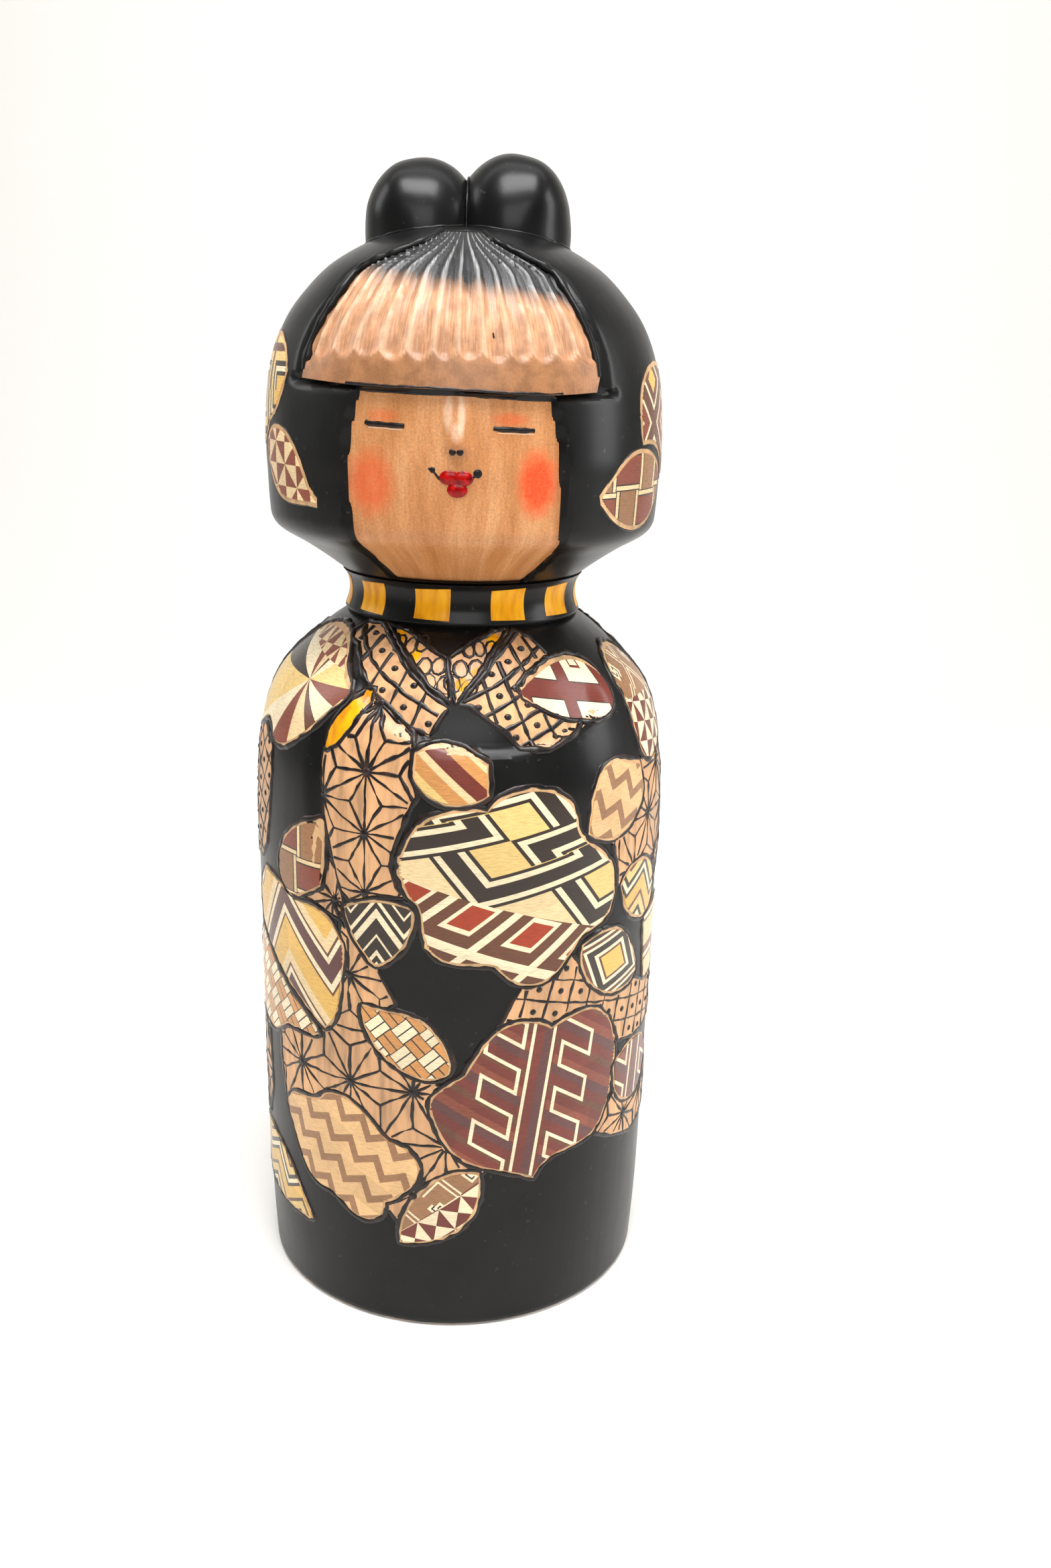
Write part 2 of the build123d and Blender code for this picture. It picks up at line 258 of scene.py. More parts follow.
class Finish:
    """A material under way. node() adds one node and hands back one of its outputs."""

    def __init__(self, name, **shader):
        self.material = bpy.data.materials.new(name)
        self.material.use_nodes = True
        self.tree = self.material.node_tree
        self.shader = self.tree.nodes["Principled BSDF"]
        for socket, value in shader.items():
            self.shader.inputs[socket.replace("_", " ")].default_value = value

    def node(self, kind, inputs, output=0, **settings):
        node = self.tree.nodes.new("ShaderNode" + kind)
        for key, value in settings.items():
            setattr(node, key, value)
        for socket, value in inputs.items():
            if isinstance(value, bpy.types.NodeSocket):
                self.tree.links.new(value, node.inputs[socket])
            else:
                node.inputs[socket].default_value = value
        return node.outputs[output]

    def sum(self, operation, *values):
        return self.node("Math", dict(enumerate(values)), operation=operation)

    def ramp(self, factor, stops, interpolation="LINEAR"):
        """Colours or greys along a factor; stops are (place, colour)."""
        output = self.node("ValToRGB", {"Fac": factor})
        band = output.node.color_ramp
        band.interpolation = interpolation
        band.elements[0].position, band.elements[1].position = stops[0][0], 1.0
        for place, _ in stops[1:]:
            band.elements.new(place)
        band.elements.remove(band.elements[len(band.elements) - 1])
        for element, (place, colour) in zip(band.elements, stops):
            element.position = place
            element.color = colour if isinstance(colour, tuple) else (colour, colour, colour, 1)
        return output

    def blend(self, factor, first, second, kind="MIX"):
        output = self.node("Mix", {0: factor, 6: first, 7: second}, 2, data_type="RGBA", blend_type=kind)
        return output

    def speckle(self, place, scale, detail=4, stretch=(1, 1, 1), turn=0):
        """Noise, drawn out along an axis when stretch is uneven."""
        mapped = self.node("Mapping", {"Vector": place, "Scale": stretch, "Rotation": (0, 0, turn)})
        return self.node("TexNoise", {"Vector": mapped, "Scale": scale, "Detail": detail})

    def bump(self, height, distance, strength=1.0):
        normal = self.node("Bump", {"Height": height, "Distance": distance, "Strength": strength})
        self.tree.links.new(normal, self.shader.inputs["Normal"])

    def feed(self, socket, value):
        self.tree.links.new(value, self.shader.inputs[socket])


def black_lacquer(name, foot=False):
    """Black lacquer in thin brushed coats: fine upright brush marks, dust and dull patches."""
    finish = Finish(name, Coat_Weight=0.12, Coat_Roughness=0.2, Specular_IOR_Level=0.14)
    place = finish.node("TexCoord", {}, "Object")
    brush = finish.speckle(place, 260, 5, (1, 1, 0.09))
    cloud = finish.speckle(place, 55, 6)
    colour = finish.ramp(cloud, [(0.3, (0.003, 0.003, 0.0032, 1)), (0.75, (0.009, 0.0088, 0.0085, 1))])
    dust = finish.ramp(finish.speckle(place, 900, 2), [(0.70, 0.0), (0.76, 0.5)])
    colour = finish.blend(dust, colour, (0.06, 0.058, 0.055, 1))
    if foot:
        height = finish.node("SeparateXYZ", {0: place}, 2)
        ragged = finish.sum("MULTIPLY_ADD", finish.speckle(place, 240, 3), 0.0011, height)
        worn = finish.ramp(finish.sum("MULTIPLY", ragged, 500), [(0.36, 1.0), (0.44, 0.0)])
        colour = finish.blend(worn, colour, (0.42, 0.27, 0.15, 1))
    finish.feed("Base Color", colour)
    finish.feed("Roughness", finish.ramp(cloud, [(0.25, 0.27), (0.8, 0.44)]))
    mixed = finish.sum("MULTIPLY_ADD", cloud, 1.5, brush)
    finish.bump(mixed, 0.00012, 0.55)
    return finish.material


body_outline = [(0, 0), (20, 0), (36.0, 0), (36.7, 0.5)]
body_rows = [0.9, 1.6] + [2.4 + BODY_ROW * step for step in range(160)]
body_outline += [(read_off(body_side, height), height) for height in body_rows]
body_outline += [(21.2, BODY_TOP), (SPIGOT_RADIUS, BODY_TOP), (SPIGOT_RADIUS, SPIGOT_TOP)]
body_outline += [(BORE_RADIUS, SPIGOT_TOP), (BORE_RADIUS, BORE_FLOOR), (0, BORE_FLOOR)]
body_block = turned_piece("lacquered_body", body_outline, BODY_STEPS)
for vertex in body_block.data.vertices:
    x, y, z = vertex.co / MM
    if 75 < z < 128 and math.hypot(x, y) > 20:
        vertex.co = on_body(math.degrees(math.atan2(x, -y)), z)
bpy.ops.object.shade_smooth_by_angle(angle=math.radians(35))
body_block.data.materials.append(black_lacquer("lacquer_body", foot=True))
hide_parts("body_block")
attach(body_block, "torso")

# ---------------------------------------------------------------------------------------
# The bare fields: places the lacquer never covered. The wood is left pale, and what looks
# like patterned cloth is drawn there. Each field is the skin of the block itself.
# Azimuth in degrees, 0 in front and growing to the right, and height in millimetres.
# ---------------------------------------------------------------------------------------
FIELD_LIFT = 0.1
GRID_STEP = 2.2
CARVED_FROM = 100  # above this height the skin is carved, so sheets there need a finer grid
CARVED_STEP = 0.9
BODY_SPAN = 38.0  # millimetres of surface to a radian
PALE_WOOD = (0.62, 0.335, 0.155, 1)

HEMP_SLEEVE = [
    (-27, 120.6), (-19, 118.2), (-11, 114.8), (-9.5, 112), (-10, 108), (-8.5, 104.5), (-11, 101.5),
    (-14.2, 96), (-15.4, 92), (-13.8, 88.5), (-10.5, 86.6), (-20, 86), (-27, 84.6), (-30, 86),
    (-33, 93), (-36.5, 99), (-38.2, 105), (-38.6, 109.6), (-33, 111.5), (-29, 116),
]
HEMP_CUFF = [
    (-37, 86.5), (-34.5, 91), (-31.5, 89.6), (-29, 84.5), (-29, 79.5), (-31, 80.6), (-38, 82),
    (-45, 82.8), (-40, 84.5),
]
HEMP_LAP = [
    (-57, 56.6), (-57.5, 48), (-55.5, 40), (-46, 36), (-30, 38), (-18, 30), (-17, 25), (-12, 21),
    (-2, 26), (12, 34), (6, 42), (0, 50), (-6, 53), (-18, 57.5), (-22, 62), (-14, 66.4), (-17.5, 71),
    (-20, 73.5), (-26, 78.5), (-30.5, 82), (-29.5, 70), (-32, 61), (-38, 57.5), (-48, 57),
]
HEMP_FOREARM = [
    (39, 97), (47, 94.2), (50, 88), (49.5, 85.5), (53, 84), (60, 87), (72, 86.5), (77, 82), (84, 88),
    (84, 101), (78, 107.5), (66, 107), (60, 107), (44, 107.5), (40, 103),
]
HEMP_KNEE = [(42, 37), (50, 40), (56, 44), (66, 40), (78, 44), (86, 38), (82, 31.5), (66, 30.5), (54, 33)]
HEMP_FLANK = [(-68, 51.5), (-82, 52), (-95, 48), (-96, 36), (-88, 30), (-72, 31), (-66.5, 38)]
DOT_SLEEVE = [
    (-61.5, 108), (-60, 103), (-61.5, 95), (-64, 89), (-69, 85.5), (-82, 84.5), (-96, 86), (-97, 104),
    (-86, 108.2), (-70, 110.5),
]
DOT_LAPEL_LEFT = [
    (-50, 127.6), (-47, 130), (-38, 130.1), (-30, 129), (-22, 126.4), (-14, 123.5), (-8, 121),
    (-1.4, 118.8), (-6.5, 114.4), (-12, 115.6), (-20, 118.4), (-26, 120.4), (-31, 122.4), (-36, 124.8),
    (-42, 126.8),
]
DOT_LAPEL_RIGHT = [
    (1.8, 119.3), (8, 122.8), (14, 126), (20, 128.5), (26, 130), (33, 129), (37, 125.6), (30, 124),
    (19, 121.6), (24, 119.6), (31, 117.4), (40, 115.2), (34, 113.6), (27, 112), (19, 112.2),
    (16, 114.6), (10, 117.2), (5, 119),
]
DOT_SASH = [
    (13.5, 62), (16, 66), (20, 69.8), (30, 70.6), (33.5, 74.8), (36, 73), (40, 68.8), (46, 65),
    (54, 63.4), (62, 64.4), (70, 61.6), (80, 63), (88, 60), (86, 53), (74, 51.5), (64, 51.6), (55, 53),
    (51, 58), (45, 62.5), (33, 63), (28, 61.4), (22, 63.6),
]
STONE_LEFT = [
    (-36, 130.2), (-22, 129.6), (-12, 128), (-3, 126), (-1.6, 123), (-0.6, 119.6), (-8, 122),
    (-14, 124.6), (-22, 127.4), (-30, 129.6),
]
STONE_RIGHT = [
    (-1.6, 123), (-3, 126), (2, 127.4), (8, 128.8), (16, 129.8), (24, 130.2), (19, 128.8), (13, 126.4),
    (7, 123.2), (0.6, 119.4),
]
FIELDS = {
    "hemp_sleeve": HEMP_SLEEVE,
    "hemp_cuff": HEMP_CUFF,
    "hemp_lap": HEMP_LAP,
    "hemp_forearm": HEMP_FOREARM,
    "hemp_knee": HEMP_KNEE,
    "hemp_flank": HEMP_FLANK,
    "dot_sleeve": DOT_SLEEVE,
    "dot_lapel_left": DOT_LAPEL_LEFT,
    "dot_lapel_right": DOT_LAPEL_RIGHT,
    "dot_sash": DOT_SASH,
    "stone_left": STONE_LEFT,
    "stone_right": STONE_RIGHT,
}
FRONT_ONLY = ("hemp_flank", "dot_sleeve")
HALF_TURN = 180


def laid_sheet(name, outline, skin, span, lift, step, thickness=0.6, parting=None):
    """A thin piece cut flat to an outline, cut into a grid, and bent onto a skin."""
    if step == GRID_STEP and CARVED_FROM < max(height for _, height in outline) < BODY_TOP:
        step = CARVED_STEP
    middle = (min(a for a, _ in outline) + max(a for a, _ in outline)) / 2
    flat = [(math.radians(azimuth - middle) * span, height) for azimuth, height in outline]
    bpy.ops.object.select_all(action="DESELECT")
    bpy.ops.mesh.primitive_circle_add(vertices=len(flat), fill_type="NGON")
    sheet = bpy.context.object
    sheet.name = name
    for vertex, (x, height) in zip(sheet.data.vertices, flat):
        vertex.co = (x, 0, height)
    sheet.data.update()
    bpy.ops.object.mode_set(mode="EDIT")
    bpy.ops.mesh.select_all(action="SELECT")
    if sheet.data.polygons[0].normal.y > 0:
        bpy.ops.mesh.flip_normals()
    for axis in (0, 2):
        low = min(point[axis // 2] for point in flat)
        high = max(point[axis // 2] for point in flat)
        for count in range(1, math.ceil((high - low) / step)):
            cut = [0, 0, 0]
            facing = [0, 0, 0]
            cut[axis] = low + count * step
            facing[axis] = 1
            bpy.ops.mesh.select_all(action="SELECT")
            bpy.ops.mesh.bisect(plane_co=cut, plane_no=facing)
    if parting:
        azimuth, height, slope = parting
        across = (math.radians(azimuth - middle)) * span
        tilt = math.radians(slope)
        bpy.ops.mesh.select_all(action="SELECT")
        bpy.ops.mesh.bisect(plane_co=(across, 0, height), plane_no=(-math.sin(tilt), 0, math.cos(tilt)))
    bpy.ops.object.mode_set(mode="OBJECT")
    flat_map = sheet.data.uv_layers.new(name="flat")
    centre = (min(z for _, z in flat) + max(z for _, z in flat)) / 2
    for loop in sheet.data.loops:
        place = sheet.data.vertices[loop.vertex_index].co
        flat_map.data[loop.index].uv = (place.x, place.z - centre)
    for vertex in sheet.data.vertices:
        vertex.co = skin(middle + math.degrees(vertex.co.x / span), vertex.co.z, lift)
    bpy.ops.object.modifier_add(type="SOLIDIFY")
    sheet.modifiers[-1].thickness = thickness * MM
    bpy.ops.object.modifier_apply(modifier=sheet.modifiers[-1].name)
    bpy.ops.object.shade_smooth_by_angle(angle=math.radians(40))
    return sheet


def join_pieces(name, pieces):
    """Makes like pieces one."""
    bpy.ops.object.select_all(action="DESELECT")
    for piece in pieces:
        piece.select_set(True)
    bpy.context.view_layer.objects.active = pieces[0]
    bpy.ops.object.join()
    pieces[0].name = name
    return pieces[0]


def bare_wood(name, colour, depth=0.35):
    """Pale close-grained wood, rubbed with clear varnish, a little scorched in places."""
    finish = Finish(name, Coat_Weight=0.12, Coat_Roughness=0.3)
    place = finish.node("TexCoord", {}, "Object")
    grain = finish.speckle(place, 620, 6, (1, 1, 0.16))
    figure = finish.speckle(place, 85, 4, (1, 1, 0.35))
    dark = tuple(part * (1 - depth) for part in colour[:3]) + (1,)
    light = tuple(min(part * (1 + depth * 0.55), 1) for part in colour[:3]) + (1,)
    tone = finish.ramp(grain, [(0.3, dark), (0.5, colour), (0.7, light)])
    patch = finish.ramp(figure, [(0.35, 0.8), (0.6, 1.06)])
    finish.feed("Base Color", finish.blend(1.0, tone, patch, "MULTIPLY"))
    finish.feed("Roughness", finish.ramp(figure, [(0.3, 0.38), (0.7, 0.55)]))
    finish.bump(grain, 0.00008, 0.5)
    return finish.material


field_wood = bare_wood("bare_field_wood", PALE_WOOD)
fields = []
for turn in (0, HALF_TURN):
    for name, outline in FIELDS.items():
        if turn and name in FRONT_ONLY:
            continue
        turned_outline = [(azimuth + turn, height) for azimuth, height in outline]
        fields.append(laid_sheet(name, turned_outline, on_body, BODY_SPAN, FIELD_LIFT, GRID_STEP))
bare_fields = join_pieces("bare_fields", fields)
bare_fields.data.materials.append(field_wood)
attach(bare_fields, "torso")

# ---------------------------------------------------------------------------------------
# The parquetry inlays: blocks of natural coloured woods glued up in bundles, sawn across
# into thin sheets, and let in flush. Each has the outline of its recess in the block.
# ---------------------------------------------------------------------------------------
INLAY_LIFT = 0.2
INLAY_THICKNESS = 1.2
OUTER_SKIN = 0.3  # faces nearer than this to the turned surface are the inlay's face
WOODS = {
    "cream": (0.78, 0.58, 0.31, 1),
    "white": (0.84, 0.70, 0.46, 1),
    "yellow": (0.74, 0.44, 0.10, 1),
    "straw": (0.77, 0.53, 0.19, 1),
    "honey": (0.72, 0.44, 0.20, 1),
    "tan": (0.60, 0.27, 0.08, 1),
    "taupe": (0.30, 0.145, 0.062, 1),
    "brick": (0.22, 0.05, 0.024, 1),
    "rose": (0.15, 0.024, 0.013, 1),
    "plum": (0.105, 0.034, 0.030, 1),
    "walnut": (0.125, 0.042, 0.018, 1),
    "wenge": (0.028, 0.016, 0.010, 1),
    "fire": (0.33, 0.035, 0.006, 1),
}


def inlay_outline(node, side):
    """The outline of a CAD inlay's outer face as azimuths and heights, in order."""
    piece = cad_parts[node].copy()
    piece.data = piece.data.copy()
    piece.parent = None
    bpy.context.scene.collection.objects.link(piece)
    bpy.ops.object.select_all(action="DESELECT")
    piece.select_set(True)
    bpy.context.view_layer.objects.active = piece
    bpy.ops.object.mode_set(mode="EDIT")
    bpy.ops.mesh.select_mode(type="FACE")
    bpy.ops.mesh.select_all(action="SELECT")
    bpy.ops.mesh.remove_doubles(threshold=1e-6)
    bpy.ops.mesh.select_all(action="DESELECT")
    bpy.ops.object.mode_set(mode="OBJECT")
    for face in piece.data.polygons:
        x, y, z = face.center / MM
        face.select = math.hypot(x, y) < read_off(side, z) - OUTER_SKIN
    bpy.ops.object.mode_set(mode="EDIT")
    bpy.ops.mesh.delete(type="FACE")
    bpy.ops.object.mode_set(mode="OBJECT")
    x, y, _ = sum((vertex.co for vertex in piece.data.vertices), Vector())
    middle = math.degrees(math.atan2(x, -y))
    bpy.ops.object.mode_set(mode="EDIT")
    bpy.ops.mesh.select_all(action="SELECT")
    bpy.ops.mesh.dissolve_faces()
    bpy.ops.object.mode_set(mode="OBJECT")
    outline = []
    for index in max(piece.data.polygons, key=lambda face: len(face.vertices)).vertices:
        x, y, z = piece.data.vertices[index].co / MM
        azimuth = math.degrees(math.atan2(x, -y))
        outline.append((middle + (azimuth - middle + 180) % 360 - 180, z))
    bpy.data.objects.remove(piece)
    return outline


def thinned(outline, span, gap):
    """The outline with points closer than the gap left out."""
    kept = [outline[0]]
    for azimuth, height in outline[1:]:
        across = math.radians(azimuth - kept[-1][0]) * span
        if math.hypot(across, height - kept[-1][1]) > gap:
            kept.append((azimuth, height))
    return kept


def widened(outline, span, margin):
    """The outline moved outwards by a margin all round."""
    flat = [(math.radians(azimuth) * span, height) for azimuth, height in outline]
    area = sum(x0 * z1 - x1 * z0 for (x0, z0), (x1, z1) in zip(flat, flat[1:] + flat[:1]))
    sign = 1 if area > 0 else -1
    wider = []
    for before, (x, z), after in zip(flat[-1:] + flat[:-1], flat, flat[1:] + flat[:1]):
        along = Vector((after[0] - before[0], after[1] - before[1])).normalized()
        wider.append((math.degrees((x + sign * along.y * margin) / span), z - sign * along.x * margin))
    return wider


class Parquet(Finish):
    """Glued-up woods. The pattern is worked out on the sheet's own flat map, in millimetres."""

    def __init__(self, name, turn=0.0, lean=0.0, cell=(0, 0), centre=(0, 0)):
        super().__init__(name, Coat_Weight=0.2, Coat_Roughness=0.2, Specular_IOR_Level=0.35)
        flat = self.node("UVMap", {}, uv_map="flat")
        self.flat = flat
        cosine, sine = math.cos(math.radians(turn)), math.sin(math.radians(turn))
        across = cell[0] / 2 - lean * cell[1] / 2 - centre[0] * cosine + centre[1] * sine
        up = cell[1] / 2 - centre[0] * sine - centre[1] * cosine
        slide = {"Location": (across, up, 0), "Rotation": (0, 0, math.radians(turn))}
        mapped = self.node("Mapping", {"Vector": flat} | slide)
        u = self.node("SeparateXYZ", {0: mapped}, 0)
        v = self.node("SeparateXYZ", {0: mapped}, 1)
        self.u = self.sum("MULTIPLY_ADD", v, lean, u)
        self.v = v

    def cell(self, value, size):
        """Where a value is in its cell, from -0.5 to 0.5."""
        return self.sum("SUBTRACT", self.sum("FRACT", self.sum("DIVIDE", value, size)), 0.5)

    def number(self, value, size):
        return self.sum("FLOOR", self.sum("DIVIDE", value, size))

    def checker(self, width, height):
        both = self.sum("ADD", self.number(self.u, width), self.number(self.v, height))
        return self.sum("PINGPONG", both, 1)

    def rings(self, size, hook=(0, 0)):
        """Nested rings round the middle of a cell, from 0; hook slides the halves apart."""
        x, y = self.cell(self.u, size[0]), self.cell(self.v, size[1])
        half = self.sum("SIGN", y)
        x = self.sum("ABSOLUTE", self.sum("MULTIPLY_ADD", half, -hook[0], x))
        y = self.sum("ABSOLUTE", self.sum("MULTIPLY_ADD", half, -hook[1], y))
        return self.sum("MULTIPLY", self.sum("MAXIMUM", x, y), 2)

    def interlocked(self, size):
        """Squares that touch at their corners, in bands that hook into one another, from 0."""
        across, up = self.sum("DIVIDE", self.u, size[0]), self.sum("DIVIDE", self.v, size[1])
        half_way = self.sum("MULTIPLY_ADD", self.sum("SUBTRACT", across, up), 0.5, 0.5)
        number = self.sum("FLOOR", half_way)
        x, y = self.sum("SUBTRACT", across, number), self.sum("ADD", up, number)
        squares = self.sum("GREATER_THAN", self.sum("MULTIPLY", x, y), 0)
        x, y = self.sum("ABSOLUTE", x), self.sum("ABSOLUTE", y)
        nested = self.sum("MAXIMUM", x, y)
        corner = self.sum("SUBTRACT", 1, self.sum("MINIMUM", x, y))
        low = self.sum("LESS_THAN", y, 0.5)
        hooked = self.sum("ADD", self.sum("MULTIPLY", low, self.sum("SUBTRACT", corner, y)), y)
        apart = self.sum("SUBTRACT", nested, hooked)
        return self.sum("MULTIPLY", self.sum("MULTIPLY_ADD", squares, apart, hooked), 0.8)

    def diamonds(self, size, tall=1.0):
        x, y = self.cell(self.u, size), self.cell(self.v, size * tall)
        return self.sum("ADD", self.sum("ABSOLUTE", x), self.sum("ABSOLUTE", y))

    def chevrons(self, width, rise, pitch):
        """Zigzag stripes."""
        slope = self.sum("PINGPONG", self.u, width)
        return self.sum("FRACT", self.sum("DIVIDE", self.sum("MULTIPLY_ADD", slope, rise, self.v), pitch))

    def pinwheel(self, size):
        """Four blades to a square: 0 or 1."""
        x, y = self.cell(self.u, size), self.cell(self.v, size)
        same = self.sum("GREATER_THAN", self.sum("MULTIPLY", x, y), 0)
        wide = self.sum("GREATER_THAN", self.sum("ABSOLUTE", x), self.sum("ABSOLUTE", y))
        return self.sum("ABSOLUTE", self.sum("SUBTRACT", same, wide))

    def strips(self, place, bands):
        """The colour of each strip; bands are (start, wood)."""
        return self.ramp(place, [(start, WOODS[wood]) for start, wood in bands], "CONSTANT")

    def done(self, colour, grain_turn=0.0, size=6.0):
        """Gives the woods their grain, a shade to each tile, pores and varnish."""
        tile = self.node("CombineXYZ", {0: self.number(self.u, size), 1: self.number(self.v, size)})
        shade = self.ramp(self.node("TexWhiteNoise", {"Vector": tile}), [(0.0, 0.86), (1.0, 1.1)])
        grain = self.speckle(self.flat, 1.6, 5, (0.35, 3.2, 1), math.radians(grain_turn))
        fine = self.speckle(self.flat, 9.0, 3, (0.2, 2.4, 1), math.radians(grain_turn))
        streak = self.ramp(grain, [(0.3, 0.74), (0.5, 0.98), (0.72, 1.14)])
        pores = self.ramp(fine, [(0.30, 0.78), (0.45, 1.0)])
        colour = self.blend(1.0, colour, streak, "MULTIPLY")
        colour = self.blend(1.0, colour, pores, "MULTIPLY")
        colour = self.blend(1.0, colour, shade, "MULTIPLY")
        self.feed("Base Color", colour)
        self.feed("Roughness", self.ramp(grain, [(0.3, 0.42), (0.7, 0.3)]))
        self.bump(fine, 0.00004, 0.5)
        return self.material


def fret_finish(name, turn, lean, size, hook, bands, grain_turn=0, centre=(0, 0)):
    parquet = Parquet(name, turn, lean, size, centre)
    return parquet.done(parquet.strips(parquet.rings(size, hook), bands), grain_turn, size[0])


def interlocked_finish(name, turn, lean, size, bands, grain_turn, centre):
    parquet = Parquet(name, turn, lean, (0, 0), centre)
    return parquet.done(parquet.strips(parquet.interlocked(size), bands), grain_turn, size[0])


def chevron_finish(name, turn, width, rise, pitch, bands, grain_turn=0):
    parquet = Parquet(name, turn)
    return parquet.done(parquet.strips(parquet.chevrons(width, rise, pitch), bands), grain_turn, pitch)


def basket_finish(name, turn, cell, woods, string):
    """Blocks laid by turns along and across, parted by pale strings with dark edges."""
    parquet = Parquet(name, turn)
    bands = [(0.0, "wenge"), (0.03, string), (0.13, "wenge"), (0.17, woods[0])]
    bands += [(0.83, "wenge"), (0.87, string), (0.97, "wenge")]
    across = parquet.strips(parquet.sum("FRACT", parquet.sum("DIVIDE", parquet.u, cell)), bands)
    bands = [(start, woods[1] if wood == woods[0] else wood) for start, wood in bands]
    along = parquet.strips(parquet.sum("FRACT", parquet.sum("DIVIDE", parquet.v, cell)), bands)
    return parquet.done(parquet.blend(parquet.checker(cell, cell), across, along), 0, cell)


def pinwheel_finish(name, turn, size, pale, dark):
    parquet = Parquet(name, turn)
    blades = parquet.ramp(parquet.pinwheel(size), [(0.0, WOODS[pale]), (0.5, WOODS[dark])], "CONSTANT")
    return parquet.done(blades, 30, size / 2)


def star_finish(name, centre):
    """Wedges of pale and dark woods round a point."""
    parquet = Parquet(name, 0, 0.0, (0, 0), centre)
    turn = parquet.sum("DIVIDE", parquet.sum("ARCTAN2", parquet.v, parquet.u), math.tau)
    return parquet.done(parquet.strips(parquet.sum("FRACT", turn), STAR_BANDS), 40, 9)


def key_finish(name, lean, bar, row, reach):
    """A leaning bar of dark wood, and on each side a pale string that runs to and fro."""
    parquet = Parquet(name, 0, lean)
    side = parquet.sum("SUBTRACT", parquet.sum("ABSOLUTE", parquet.u), bar)
    slant = parquet.sum("MULTIPLY_ADD", parquet.u, 0.62, parquet.v)
    rise = parquet.sum("FRACT", parquet.sum("DIVIDE", slant, row))
    odd = parquet.sum("PINGPONG", parquet.number(slant, row), 1)
    near, far = 1.4, reach
    half_string = 0.36
    turning = parquet.sum("MULTIPLY_ADD", odd, far - near, near)
    off_post = parquet.sum("ABSOLUTE", parquet.sum("SUBTRACT", side, turning))
    post = parquet.sum("LESS_THAN", off_post, half_string)
    midway = parquet.sum("ABSOLUTE", parquet.sum("SUBTRACT", side, (near + far) / 2))
    run = parquet.sum("LESS_THAN", midway, (far - near) / 2 + half_string)
    string = parquet.sum("MULTIPLY", parquet.sum("GREATER_THAN", rise, 0.84), run)
    pale = parquet.sum("MAXIMUM", post, string)
    half_rise = parquet.sum("MULTIPLY", rise, 0.5)
    blocks = parquet.strips(parquet.sum("MULTIPLY_ADD", odd, 0.5, half_rise), LAP_WOODS)
    colour = parquet.blend(pale, blocks, WOODS["white"])
    beam = parquet.strips(parquet.sum("MULTIPLY_ADD", parquet.u, 0.5 / bar, 0.5), LAP_BEAM)
    colour = parquet.blend(parquet.sum("LESS_THAN", side, 0), colour, beam)
    return parquet.done(colour, 86, row)


def weave_finish(name, turn, cell):
    """Planks laid in pairs, a pale pair along and a tan pair across, with dark slips between."""
    parquet = Parquet(name, turn)
    bands = [(0.0, "wenge"), (0.07, "white"), (0.46, "wenge"), (0.53, "white"), (0.95, "wenge")]
    along = parquet.strips(parquet.sum("FRACT", parquet.sum("DIVIDE", parquet.v, cell)), bands)
    bands = [(start, "tan" if wood == "white" else wood) for start, wood in bands]
    across = parquet.strips(parquet.sum("FRACT", parquet.sum("DIVIDE", parquet.u, cell)), bands)
    return parquet.done(parquet.blend(parquet.checker(cell, cell), along, across), 0, cell)


def cross_finish(name, turn, size):
    """Dark red bars crossing on white squares, with thin dark slips."""
    parquet = Parquet(name, turn, 0.25, (size, size))
    x, y = parquet.cell(parquet.u, size), parquet.cell(parquet.v, size)
    near = parquet.sum("MINIMUM", parquet.sum("ABSOLUTE", x), parquet.sum("ABSOLUTE", y))
    bands = [(0.0, "rose"), (0.13, "wenge"), (0.15, "white"), (0.36, "rose"), (0.40, "white")]
    return parquet.done(parquet.strips(near, bands), 0, size)


DARK_FRET = [
    (0.0, "straw"), (0.41, "wenge"), (0.45, "white"), (0.52, "wenge"), (0.69, "white"),
    (0.757, "wenge"), (0.8, "cream"),
]
RED_FRET = [(0.0, "fire"), (0.36, "white"), (0.50, "walnut"), (0.86, "white")]
LAP_WOODS = [
    (0.0, "brick"), (0.15, "rose"), (0.34, "walnut"), (0.5, "rose"), (0.72, "plum"), (0.94, "brick"),
]
LAP_BEAM = [(0.0, "white"), (0.12, "rose"), (0.45, "plum"), (0.80, "white"), (0.92, "rose")]
GOLD_FRET = [
    (0.0, "yellow"), (0.42, "walnut"), (0.50, "white"), (0.62, "wenge"), (0.84, "white"),
    (0.94, "walnut"),
]
HIP_BANDS = [
    (0.0, "yellow"), (0.36, "walnut"), (0.40, "white"), (0.50, "plum"), (0.72, "white"),
    (0.80, "walnut"), (0.84, "cream"),
]
SLEEVE_BANDS = [
    (0.0, "wenge"), (0.30, "white"), (0.48, "wenge"), (0.60, "white"), (0.70, "wenge"), (0.94, "white"),
]
SPIRAL_BANDS = [
    (0.0, "white"), (0.12, "wenge"), (0.18, "white"), (0.28, "taupe"), (0.86, "white"), (0.94, "taupe"),
]
STEP_BANDS = [(0.0, "honey"), (0.64, "taupe")]
WAIST_BANDS = [
    (0.0, "yellow"), (0.34, "wenge"), (0.44, "white"), (0.56, "wenge"), (0.68, "straw"),
    (0.90, "walnut"),
]
DIAMOND_BANDS = [
    (0.0, "yellow"), (0.16, "walnut"), (0.30, "white"), (0.36, "walnut"), (0.60, "white"),
    (0.66, "brick"), (0.86, "white"), (0.92, "walnut"),
]
